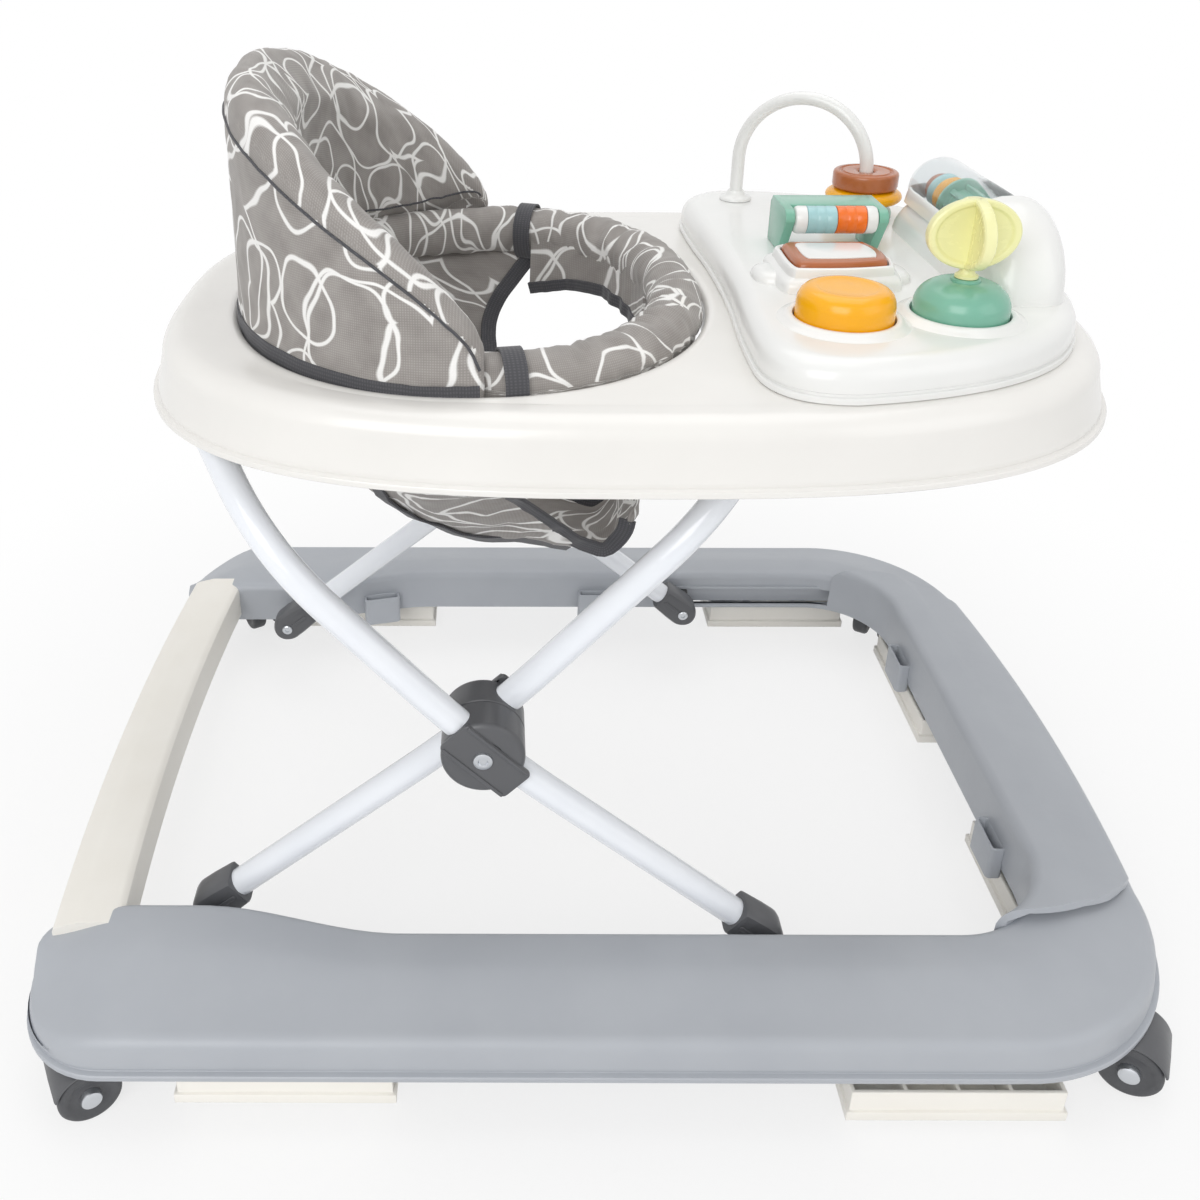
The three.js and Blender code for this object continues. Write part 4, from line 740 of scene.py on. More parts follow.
@dataclass(frozen=True)
class Moulded(Finish):
    """Injection-moulded plastic, satin or gloss, or a powder coat.

    Moulding leaves a fine grain or a faint ripple, soft differences of tone, and light scuffs.
    """

    tone: str
    roughness: float
    grain_mm: float = 0.7
    grain_depth_mm: float = 0.012
    ripple_mm: float = 26.0
    coat: float = 0.0
    wear: float = 0.08

    def inputs(self, tree: Tree) -> Inputs:
        """Patches of tone, grain over a ripple, and scuffs that dull the surface.

        Args:
            tree: the node tree.

        Returns:
            Values and outputs by the input's name.
        """
        where = add(tree, "TexCoord").outputs["Object"]
        ripple = bumped(tree, noisy(tree, where, self.ripple_mm, 1.0), 0.08, 0.3)
        # Handling scuffs, as thin stretched streaks some 12 mm long
        scale = tuple(1 / (size * MM) for size in (12, 2.2, 5))
        streaks = add(tree, "Mapping", {"Vector": where, "Scale": scale, "Rotation": (0.3, 0.2, 0.6)}).outputs[0]
        scuffs = add(tree, "TexNoise", {"Vector": streaks, "Scale": 1.0, "Detail": 5.0}).outputs["Fac"]
        return {
            "Base Color": mottled(tree, where, self.shade, self.tone, 48, 0.5),
            # Spark-eroded mould grain, drawn at its real size of well under a millimetre
            "Normal": bumped(tree, noisy(tree, where, self.grain_mm, 3.0), 1.0, self.grain_depth_mm, ripple),
            "Roughness": ramp(tree, scuffs, self.roughness, min(self.roughness + self.wear, 1.0), 0.45, 0.75),
            "IOR": 1.5,
            "Coat Weight": self.coat,
            "Coat Roughness": 0.08,
        }


@dataclass(frozen=True)
class Steel(Finish):
    """Zinc-plated turned steel: a metal with fine lathe marks."""

    name: str = "zinc-plated turned steel"
    slot: str = "steel_trim"
    shade: str = "C9CCD0"
    roughness: float = 0.28

    def inputs(self, tree: Tree) -> Inputs:
        """Lathe marks in relief and in gloss.

        Args:
            tree: the node tree.

        Returns:
            Values and outputs by the input's name.
        """
        marks = noisy(tree, add(tree, "TexCoord").outputs["Object"], 0.35, 4.0)
        rough = ramp(tree, marks, self.roughness, self.roughness + 0.15)
        return {"Normal": bumped(tree, marks, 1.0, 0.01), "Roughness": rough, "Metallic": 1.0}


@dataclass(frozen=True)
class Smoked(Finish):
    """Clear styrene with a faint smoke tint, polished, with soft ripples from the mould."""

    name: str = "smoke-tinted clear styrene"
    slot: str = "clear_plastic"
    shade: str = "F1F4F5"
    roughness: float = 0.04

    def inputs(self, tree: Tree) -> Inputs:
        """Ripples in a clear body that bends light less than solid styrene, as a thin wall does.

        Args:
            tree: the node tree.

        Returns:
            Values and outputs by the input's name.
        """
        waves = noisy(tree, add(tree, "TexCoord").outputs["Object"], 9, 2.0)
        clear = {"Roughness": self.roughness, "Transmission Weight": 0.94, "IOR": 1.15}
        return {"Normal": bumped(tree, waves, 0.25, 0.2), **clear}


@dataclass(frozen=True)
class PrintedCloth(Finish):
    """Plain-woven polyester with a printed pattern of loose loops over a faint marbled ground.

    Threads lie 1.4 mm apart here, coarser than the real 0.5 mm, so that the weave shows.
    """

    name: str = "printed polyester weave"
    slot: str = "seat_fabric"
    shade: str = "A6A19D"
    marble: str = "928D89"
    line: str = "F4F3F1"
    loop_mm: float = 78.0
    thread_mm: float = 1.4

    def printed(self, tree: Tree, where: Socket) -> Socket:
        """Three layers of printed loops, 1 on a line and 0 beside it.

        Args:
            tree: the node tree.
            where: the coordinates' output, in metres along the cloth.

        Returns:
            The output of the lines.
        """
        # Hand-drawn wander of the printed lines
        wander = add(tree, "TexNoise", {"Vector": where, "Scale": 1 / (46 * MM), "Detail": 1.0}).outputs["Color"]
        shift = add(tree, "VectorMath", {0: wander, "Scale": 34 * MM}, operation="SCALE").outputs[0]
        drawn = add(tree, "VectorMath", {0: where, 1: shift}, operation="ADD").outputs[0]
        lines = None
        for turn, (radius, size) in enumerate(((0.42, 1.0), (0.38, 0.74), (0.44, 1.3))):
            aside = (0.013 * turn, 0.029 * turn, 0.0)
            placed = add(tree, "VectorMath", {0: drawn, 1: aside}, operation="ADD").outputs[0]
            grid = {"Vector": placed, "Scale": 1 / (self.loop_mm * size * MM), "Randomness": 0.6}
            cells = add(tree, "TexVoronoi", grid, voronoi_dimensions="2D").outputs["Distance"]
            off = calculated(tree, "ABSOLUTE", calculated(tree, "SUBTRACT", cells, radius))
            width = 1.15 / (self.loop_mm * size)
            ink = ramp(tree, off, 1, 0, width * 0.7, width * 1.5)
            lines = ink if lines is None else calculated(tree, "MAXIMUM", lines, ink)
        return lines

    def inputs(self, tree: Tree) -> Inputs:
        """The print over a marbled ground, with painted shade between the threads and painted light where they cross,
        and weave and creases in relief.

        Args:
            tree: the node tree.

        Returns:
            Values and outputs by the input's name.
        """
        where = add(tree, "Attribute", attribute_name="weave").outputs["Vector"]
        ground = mottled(tree, where, self.shade, self.marble, 17, 0.9)
        printed = mixed(tree, self.printed(tree, where), ground, colour(self.line))
        height = woven(tree, where, self.thread_mm)
        crease = bumped(tree, noisy(tree, where, 11, 3.0), 0.35, 1.0)
        return {
            # Painted shade and light: the weave's height laid over the colour, darker between the threads, lighter
            # where they cross
            "Base Color": mixed(tree, 0.16, printed, height, blend_type="OVERLAY"),
            "Normal": bumped(tree, height, 0.5, 0.16, crease),
            "Roughness": 0.86,
            "Sheen Weight": 0.25,
            "Sheen Roughness": 0.5,
        }


@dataclass(frozen=True)
class Webbing(Finish):
    """Ribbed woven tape: binding, straps and piping, with ribs 1.6 mm apart."""

    name: str = "charcoal woven tape"
    slot: str = "seat_fabric"
    shade: str = "46464A"
    # Painted light: the rib tops' colour, lighter than the main shade, which fills the grooves as painted shade
    tone: str = "5A5A5E"

    def inputs(self, tree: Tree) -> Inputs:
        """Ribs in painted light and shade, lighter on their tops and darker in the grooves, and in relief.

        Args:
            tree: the node tree.

        Returns:
            Values and outputs by the input's name.
        """
        height = woven(tree, add(tree, "Attribute", attribute_name="weave").outputs["Vector"], 1.6)
        # Painted light and shade: the ribs' height mixes the dark groove colour with the lighter rib-top colour
        tint = mixed(tree, height, colour(self.shade), colour(self.tone))
        soft = {"Roughness": 0.82, "Sheen Weight": 0.2}
        return {"Base Color": tint, "Normal": bumped(tree, height, 0.7, 0.25), **soft}


def gloss(name: str, slot: str, shade: str, tone: str, roughness: float = 0.24, coat: float = 0.2) -> Moulded:
    """Gloss ABS, nearly without grain or scuffs."""
    return Moulded(f"{name} gloss ABS", slot, shade, tone, roughness, 0.9, 0.002, coat=coat, wear=0.03)


COATED = {"wear": 0.03, "coat": 0.2}
GREY = Moulded("grey polypropylene", "grey_plastic", "B3B7BD", "ABAFB6", 0.4, 0.8, 0.015)
IVORY = Moulded("ivory polypropylene", "ivory_plastic", "F8F5EE", "F2EEE5", 0.45, 0.9, 0.015)
DARK = Moulded("charcoal nylon", "dark_plastic", "5C5D60", "545558", 0.34, 0.6, 0.01)
WHEEL = Moulded("charcoal hard wheel nylon", "wheel_plastic", "505154", "47484B", 0.5, 0.5, 0.03, wear=0.2)
POWDER = Moulded("white powder-coated steel", "coated_tube", "F3F6FB", "EBEFF6", 0.2, 2.4, 0.004, 26.0, 0.5, 0.03)
WARM = Moulded("warm white gloss ABS", "warm_white_gloss", "EFEDE9", "EAE8E4", 0.24, 1.2, 0.0015, **COATED)
COOL = Moulded("cool white gloss ABS", "cool_white_gloss", "F0F0EE", "EBECEA", 0.22, 1.2, 0.0015, **COATED)
YELLOW = gloss("mustard", "yellow_plastic", "FCB404", "F5A902", 0.22, 0.1)
GREEN = gloss("sage green", "green_plastic", "7DB9A2", "74B099")
BROWN = gloss("caramel brown", "brown_plastic", "B3673A", "A95F34")
ORANGE = gloss("orange", "orange_plastic", "F5761A", "EC6C12")
BLUE = gloss("light blue", "blue_plastic", "A9D3D6", "9FCACE")
LEMON = gloss("pale lemon", "lemon_plastic", "F4F2B8", "ECEAAA", 0.26, 0.15)
STEEL = Steel()
CLEAR = Smoked()
CLOTH = PrintedCloth()
TAPE = Webbing()


def dress(piece: Piece, finish: Finish, body: str, *nodes: str) -> Piece:
    """Gives a finished piece its material and its body, and hides the nodes that it stands for.

    Args:
        piece: the finished piece.
        finish: its finish.
        body: the body that it moves with.
        nodes: the nodes that it replaces.

    Returns:
        The same piece.
    """
    for layer in [a.name for a in piece.data.attributes if a.name in ("place", "station")]:
        piece.data.attributes.remove(piece.data.attributes[layer])
    piece.data.materials.clear()
    piece.data.materials.append(finish.material())
    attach(piece, body)
    if nodes:
        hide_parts(*nodes)
    log.info("%s: %d faces, rides on %s", piece.name, len(piece.data.polygons), body)
    return piece


def laid(piece: Piece, where: Callable[[Vector], Place]) -> Piece:
    """Writes how the cloth's threads lie on a piece, as a point attribute.

    Args:
        piece: the cloth piece.
        where: gives the place along and across the cloth of a point, in metres.

    Returns:
        The same piece.
    """
    layer = piece.data.attributes.new("weave", "FLOAT_VECTOR", "POINT")
    for vertex, value in zip(piece.data.vertices, layer.data):
        value.vector = where(vertex.co)
    return piece


# ---- base


@dataclass
class Base:
    """Rail shell with its guard, slots, sleeves and tabs, the rear bar and the stoppers. Millimetres."""

    half_width: float = 283
    rail_rear: float = -366
    inner_half: float = 208
    inner_front: float = 283
    corner_x: float = 235.5
    corner_y: float = 163
    corner_radius: float = 120
    inner_corner_x: float = 218
    inner_corner_y: float = 143
    inner_corner_radius: float = 65
    front_bow: float = 10
    end_run: float = 58
    end_drop: float = 14
    inner_end_radius: float = 16
    bulge: float = 22
    low: float = 41
    outer_top: float = 67
    inner_top: float = 78
    edge: float = 9
    wall: float = 3
    slot_rear: float = 90.7
    slot_front: float = 250
    slot_half: float = 8.3
    foot_height: float = 54
    rear_foot_x: float = -265
    guard_middle: tuple[float, float] = (258, 90)
    guard_reach: float = 112.5
    tab: Place = (33, 10, 28)
    tab_low: float = 32

    def inner_y(self, x: float) -> float:
        """Distance of the inner wall from the middle plane."""
        return self.inner_half - self.bulge * blended((-135 - x) / 130)

    def round_off(self, distance: float, radius: float) -> float:
        """How far a round corner draws back at a distance from its start."""
        short = max(radius - distance, 0)
        return radius - sqrt(radius * radius - short * short)

    def half_stations(self, inset: float) -> list[Station]:
        """Stations from the near rear end to the middle of the front.

        Args:
            inset: how far the stations lie inside the outer skin.

        Returns:
            The outer point, the inner point and the drop of each station.
        """
        out: list[Station] = []
        rear = self.rail_rear + inset
        shares = [0, 0.01, 0.03, 0.06, 0.1, 0.15, 0.21, 0.28, 0.36, 0.45, 0.55, 0.66, 0.78, 0.9, 1]
        xs = [rear + share * self.end_run for share in shares]
        side = rear + self.end_run
        xs += [side + (self.inner_corner_x - side) * i / 44 for i in range(1, 45)]
        for x in xs:
            outer_y = self.half_width - self.round_off(x - rear, self.end_run - inset) - inset
            inner_y = self.inner_y(x) + self.round_off(x - rear, self.inner_end_radius) + inset
            drop = self.end_drop * (1 - blended((x - rear) / self.end_run))
            out.append((Vector((x, -outer_y)), Vector((x, -inner_y)), drop))
        for i in range(1, 31):
            angle = pi / 2 * i / 30
            way = Vector((sin(angle), -cos(angle)))
            outer = Vector((self.corner_x, -self.corner_y)) + way * (self.corner_radius - inset)
            inner = Vector((self.inner_corner_x, -self.inner_corner_y)) + way * (self.inner_corner_radius + inset)
            out.append((outer, inner, 0))
        for i in range(1, 17):
            share = 1 - i / 16
            x = self.corner_x + self.corner_radius - inset + self.front_bow * (1 - share * share)
            outer = Vector((x, -self.corner_y * share))
            inner = Vector((self.inner_front + inset, -self.inner_corner_y * share))
            out.append((outer, inner, 0))
        return out

    def stations(self, inset: float = 0) -> list[Station]:
        """Stations of the whole rail, from the near rear end to the far one.

        Args:
            inset: how far the stations lie inside the outer skin.

        Returns:
            The stations in order.
        """
        near = self.half_stations(inset)
        far = [(Vector((o.x, -o.y)), Vector((i.x, -i.y)), d) for o, i, d in reversed(near[:-1])]
        return near + far

    def section(self, station: Station, profile: Sequence[Place]) -> Ring:
        """Sets a profile up at one station.

        Args:
            station: the outer point, the inner point and the drop.
            profile: for each point its share of the width, its offset inwards and its height.

        Returns:
            The section's points, in metres.
        """
        outer, inner, _ = station
        inward = (inner - outer).normalized()
        ring = []
        for share, offset, height in profile:
            p = outer.lerp(inner, share) + inward * offset
            ring.append(mm(p.x, p.y, height))
        return ring

    def rail_profile(self, drop: float) -> list[Place]:
        """Section of the rail: flange bead, groove, drafted wall, broken top, and the inside.

        Args:
            drop: how much lower the top lies, as it does at the rear ends.

        Returns:
            The profile as section() takes it.
        """
        outer_top, inner_top = self.outer_top - drop, self.inner_top - drop
        break_top = inner_top - 0.6
        rise = break_top - outer_top
        low, wall = self.low, self.wall
        bead = [(0.4, 0), (-2.2, 0), (-3, 0.7), (-3, 3.4), (-2.3, 4.2), (0.6, 4.4), (1, 4.8), (1, 6.2), (0.5, 6.7)]
        outside = [(0, x, low + z) for x, z in [*bead, (0.6, 8)]]
        outside += [(0, x, z) for x, z in quarter(2, outer_top, self.edge, range(0, 91, 15))]
        outside += [
            (0.3, 2, outer_top + rise * 0.36),
            (0.5, 0, outer_top + rise * 0.72),
            (0.6, 0, outer_top + rise * 0.93),
            (0.635, 0, break_top - 0.25),
            (0.67, 0, break_top + 0.2),
            (0.8, 0, inner_top),
        ]
        outside += [(1, -x, z) for x, z in quarter(0, inner_top, self.edge * 0.7, range(90, -1, -15))]
        inside = [
            (1, 0, low + 8),
            (1, 0, low),
            (1, -wall, low),
            (1, -wall, inner_top - wall - 5),
            (1, -wall - 4, inner_top - 1.9),
            (0.64, 0, break_top - 1.9),
            (0, wall + 9, outer_top - 1.7),
            (0, wall + 3, outer_top - wall - 5),
            (0, wall, low + 4),
            (0, wall, low),
        ]
        return outside + inside

    def build_rail(self) -> Piece:
        """Lofts the shell, adds the guard and cuts the slots and the rear feet's holes.

        Returns:
            The rail.
        """
        rail = loft("rail_shell", [self.section(s, self.rail_profile(s[2])) for s in self.stations()])
        combined(rail, self.build_guard(), way="UNION")
        hole = [(0, -16), (6.5, -16), (6.5, 16), (0, 16)]
        for side in Side:
            y = side.value * (self.inner_half + 1.5)
            rings = [[mm(x, y + way, z) for x, z in self.capsule_plan()] for way in (-6, 6)]
            hole_y = side.value * (self.inner_half - self.bulge / 2)
            foot = (self.rear_foot_x, hole_y, self.foot_height)
            combined(rail, loft("slot_cutter", rings))
            combined(rail, lathe("hole_cutter", hole, foot, Axis.Y, 32))
        return rail

    def build_guard(self) -> Piece:
        """The raised guard over the front, whose two ends stop at a wide arc with drafted walls.

        Returns:
            The guard.
        """
        outer_top, inner_top, wall = self.outer_top + 10, self.inner_top + 10, self.wall
        start, low = 0.09, self.low + 6
        profile = [(start, 0, low), (start, 0.2, outer_top - self.edge)]
        profile += [(start, x, z) for x, z in quarter(0, outer_top, self.edge, (15, 35, 55, 75, 90))]
        profile += [(0.35, 0, outer_top + 5.5), (0.55, 0, inner_top - 3.6), (0.64, 0, inner_top - 0.6)]
        profile += [(0.68, 0, inner_top)]
        profile += [(1, 1 - x, z) for x, z in quarter(0, inner_top, 7, (90, 70, 50, 30, 10, 0))]
        profile += [(1, 1, low), (1, 1 - wall, low), (1, 1 - wall, inner_top - 8), (1, -8, inner_top - wall)]
        profile += [(0.6, 0, inner_top - wall - 2), (start, 12, outer_top - wall)]
        profile += [(start, wall, outer_top - 10), (start, wall, low)]
        kept = [s for s in self.stations() if s[0].x > 224 and s[1].x > 217]
        guard = loft("guard", [self.section(s, profile) for s in kept])
        middle_x, middle_y = self.guard_middle
        for side in Side:
            levels = []
            for z, more in ((30, 2), (78, 1), (120, -14)):
                edge = [(middle_x + x, y - middle_y) for x, y in arc(self.guard_reach + more, -118, 108, 40)]
                edge += [(440, edge[-1][1]), (440, -340), (edge[0][0], -340)]
                levels.append(([(x, -side.value * y) for x, y in edge], z))
            combined(guard, stacked("end_cutter", levels))
        return guard

    def capsule_plan(self, grow: float = 0) -> list[Plan]:
        """Outline of a rail slot as X and Z, grown outwards.

        Args:
            grow: how far the outline is grown.

        Returns:
            The outline's points.
        """
        half = self.slot_half + grow
        front, rear = self.slot_front + grow - half, self.slot_rear - grow + half
        ends = ((front, arc(half, -90, 180, 14)), (rear, arc(half, 90, 180, 14)))
        return [(centre + x, self.foot_height + z) for centre, points in ends for x, z in points]

    def build_slot_rim(self, side: Side) -> Piece:
        """The raised rim round one slot.

        Args:
            side: near or far.

        Returns:
            The rim.
        """
        rings = []
        for grow, out in ((0.0, -2.5), (0.0, 1.3), (0.4, 1.8), (2.3, 1.8), (2.8, 1.3), (2.8, -0.4)):
            y = side.value * (self.inner_half - out)
            rings.append([mm(x, y, z) for x, z in self.capsule_plan(grow)])
        return loft(f"slot_rim_{side.word}", rings, closed=True)

    def build_tab(self, name: str, x: float, y: float, turn: float) -> Piece:
        """A pull tab: an open pocket on the inner wall.

        Args:
            name: the tab's name.
            x: place of the middle of its foot.
            y: the same, across.
            turn: the way that it faces, in radians.

        Returns:
            The tab.
        """
        length, depth, height = self.tab
        low, high = self.tab_low, self.tab_low + height
        thick = 2
        middle = depth / 2 - 0.5
        out = box_plan(length, depth + 1, 3.5, 0, middle)
        inner = box_plan(length - 2 * thick, depth + 1 - 2 * thick, 2, 0, middle)
        base = box_plan(length - 3, depth - 2, 2.5, 0, middle)
        lip = [self.between(out, inner, share) for share in (0.25, 0.75)]
        levels = [(base, low), (out, low + 1.6), (out, high - 0.6), (lip[0], high)]
        levels += [(lip[1], high), (inner, high - 0.6), (inner, low + thick)]
        return moved(stacked(name, levels), stand(x, y, 0, turn))

    def between(self, one: Sequence[Plan], two: Sequence[Plan], share: float) -> list[Plan]:
        """The outline a share of the way from one to the other."""
        return [(a[0] + (b[0] - a[0]) * share, a[1] + (b[1] - a[1]) * share) for a, b in zip(one, two)]

    def build_rear_bar(self) -> Piece:
        """The bowed ivory bar between the rear ends, with a ridge along its top.

        Returns:
            The bar.
        """
        front = [(45, 46), (46, 47), (46, 70.5), (45.1, 73.6), (42.8, 75.4), (40, 76)]
        back = [(19.5, 76), (17.2, 75.8), (15.3, 75.2), (9, 73.6), (4, 72.2), (1.2, 70.6), (0, 68), (0, 47)]
        rings = []
        for share in spread_over(-1, 1, 49):
            outer = -359 - 9 * (1 - share * share)
            rings.append([mm(outer + x, share * 202, z) for x, z in [(1, 46), *front, *back]])
        return loft("rear_cross_bar", rings)

    def build_posts(self) -> Piece:
        """Caster sockets, stopper sleeves and the ribs behind the slots, all under the rail.

        Returns:
            The posts as one piece.
        """
        posts = []
        socket = [(5.8, 43), (9.5, 43), (9.5, 66), (5.8, 66), (5.8, 43)]
        for name, x, y, _ in CASTERS:
            posts.append(lathe(f"post_{name}", socket, (x, y, 0), steps=32))
        for name, x, y, turn in STOPPERS:
            grown = ((0.4, 46), (2, 46), (2, 66), (0.4, 66))
            levels = [(box_plan(40 + 2 * grow, 8 + 2 * grow, 1.5), z) for grow, z in grown]
            posts.append(moved(stacked(f"sleeve_{name}", levels, closed=True), stand(x, y, 0, turn)))
        length, middle = self.slot_front - self.slot_rear + 30, (self.slot_rear + self.slot_front) / 2
        for side in Side:
            plan = box_plan(length, 2, 0.8, middle, side.value * (self.inner_half + 8))
            posts.append(plate(f"rib_{side.word}", plan, 44, 66))
        return merged(posts, "rail_posts")

    def build(self) -> None:
        """Builds and dresses the whole base."""
        dress(smoothed(self.build_rail(), 28), GREY, "base", "base_shell")
        for side in Side:
            dress(smoothed(self.build_slot_rim(side), 40), GREY, "base")
        lean = atan2(self.inner_y(-167) - self.inner_y(-200), 33)
        places = [
            ("tab_rear_near", -183.5, -self.inner_y(-183.5), -lean),
            ("tab_rear_far", -183.5, self.inner_y(-183.5), pi + lean),
            ("tab_mid_near", 20, -self.inner_half, 0),
            ("tab_mid_far", 20, self.inner_half, pi),
            ("tab_front_near", self.inner_front, -105.5, pi / 2),
            ("tab_front_far", self.inner_front, 105.5, pi / 2),
        ]
        for place in places:
            dress(smoothed(self.build_tab(*place), 40), GREY, "base")
        dress(smoothed(self.build_posts(), 40), GREY, "base")
        dress(smoothed(self.build_rear_bar(), 30), IVORY, "base", "rear_bar")
        for name, *_ in STOPPERS:
            node = f"stopper_{name}"
            dress(smoothed(refined(f"{node}_block", node, 1.2, 3), 40), IVORY, node, node)


CASTERS = [
    ("rear_near", -312, -256, radians(210)),
    ("rear_far", -312, 256, radians(-60)),
    ("front_near", 306, -238, radians(-30)),
    ("front_far", 306, 238, radians(240)),
]

STOPPERS = [
    ("near_rear", -200, -255, 0.0),
    ("near_front", 200, -255, 0.0),
    ("far_rear", -200, 255, 0.0),
    ("far_front", 200, 255, 0.0),
    ("front_near", 314, -122, pi / 2),
    ("front_far", 314, 122, pi / 2),
]


# ---- casters


@dataclass
class Casters:
    """Four twin-wheel casters, each modelled at its own stem and copied. Millimetres."""

    trail: float = 16
    wheel: float = 19
    hood_inner: float = 19.8
    hood_outer: float = 21.4
    hood_reach: float = 18.5
    web: float = 9
    eye: float = 9.5

    def build_housing(self) -> Piece:
        """Hood over both wheels, web between them, swivel plate and stem.

        Returns:
            The housing, with its stem over the origin.
        """
        corner, reach = 1.6, self.hood_reach
        inner, outer = self.hood_inner, self.hood_outer
        section = [(inner, -reach), (outer - 0.5, -reach), (outer, -reach + corner), (outer + 0.25, 0)]
        section += [(outer, reach - corner), (outer - 0.5, reach), (inner, reach), (inner, 0)]
        rings = []
        for c, s in arc(1, 20, 140, 40):
            rings.append([mm(self.trail + r * c, y, self.wheel + r * s) for r, y in section])
        hood = loft("hood", rings)
        outline = arc(self.eye, 180, 180, 15) + arc(20.4, 20, 140, 14)
        half = self.web / 2
        sides = [[mm(self.trail + x, y, self.wheel + z) for x, z in outline] for y in (-half, half)]
        web = bevelled(loft("web", sides), 0.8, 2)
        profile = [(0, 31), (9.4, 31), (9.4, 37.6), (10.6, 38.8), (11.4, 39), (12, 39.6), (12, 41.4), (11.4, 42)]
        profile += [(5, 42), (5, 57.5), (4, 58.5), (0, 58.5)]
        return combined(hood, web, lathe("stem", profile, steps=40), way="UNION")

    def build_wheel(self) -> Piece:
        """One wheel with a rounded tread, a fine parting line and a smooth dished face.

        Returns:
            The wheel, at its place under the stem.
        """
        profile = [
            (3.2, 5), (15.8, 5), (17.6, 5.5), (18.7, 6.7), (19, 8.2), (19, 11.5), (18.8, 11.75), (19, 12),
            (19, 15.4), (18.7, 16.9), (17.8, 18), (16.6, 18.5), (15.2, 18.5), (14, 18.2), (12.6, 17.4), (10.6, 16.7),
            (8.4, 16.5), (7.2, 16.7), (6.6, 17.1), (3.2, 17.1), (3.2, 5),
        ]
        return lathe("wheel", profile, (self.trail, 0, self.wheel), Axis.Y, 64)

    def build_axle(self) -> Piece:
        """Steel axle with a domed push cap at each end.

        Returns:
            The axle, at its place under the stem.
        """
        half = [(3, 0), (3, 17.2), (6.4, 17.2), (6.4, 20), (6, 21), (4.8, 21.7), (2.6, 22), (0, 22)]
        profile = [(r, -y) for r, y in reversed(half[1:])] + half[1:]
        return lathe("axle", profile, (self.trail, 0, self.wheel), Axis.Y, 40)

    def build(self) -> None:
        """Builds one caster and copies its pieces to all four stems."""
        housing = smoothed(self.build_housing(), 36)
        wheel = smoothed(self.build_wheel(), 32)
        axle = smoothed(self.build_axle(), 36)
        for name, x, y, turn in CASTERS:
            place = stand(x, y, 0, turn)
            dress(copied(housing, f"fork_{name}", place), DARK, f"caster_{name}", f"caster_housing_{name}")
            dress(copied(axle, f"axle_{name}", place), STEEL, f"wheels_{name}", f"caster_axle_{name}")
            for letter, flip in (("a", -1), ("b", 1)):
                twin = copied(wheel, f"wheel_{name}_{letter}", place @ Matrix.Diagonal((1, flip, 1, 1)))
                dress(twin, WHEEL, f"wheels_{name}", f"caster_wheel_{name}_{letter}")
        for piece in (housing, wheel, axle):
            bpy.data.objects.remove(piece)


# ---- cross frame


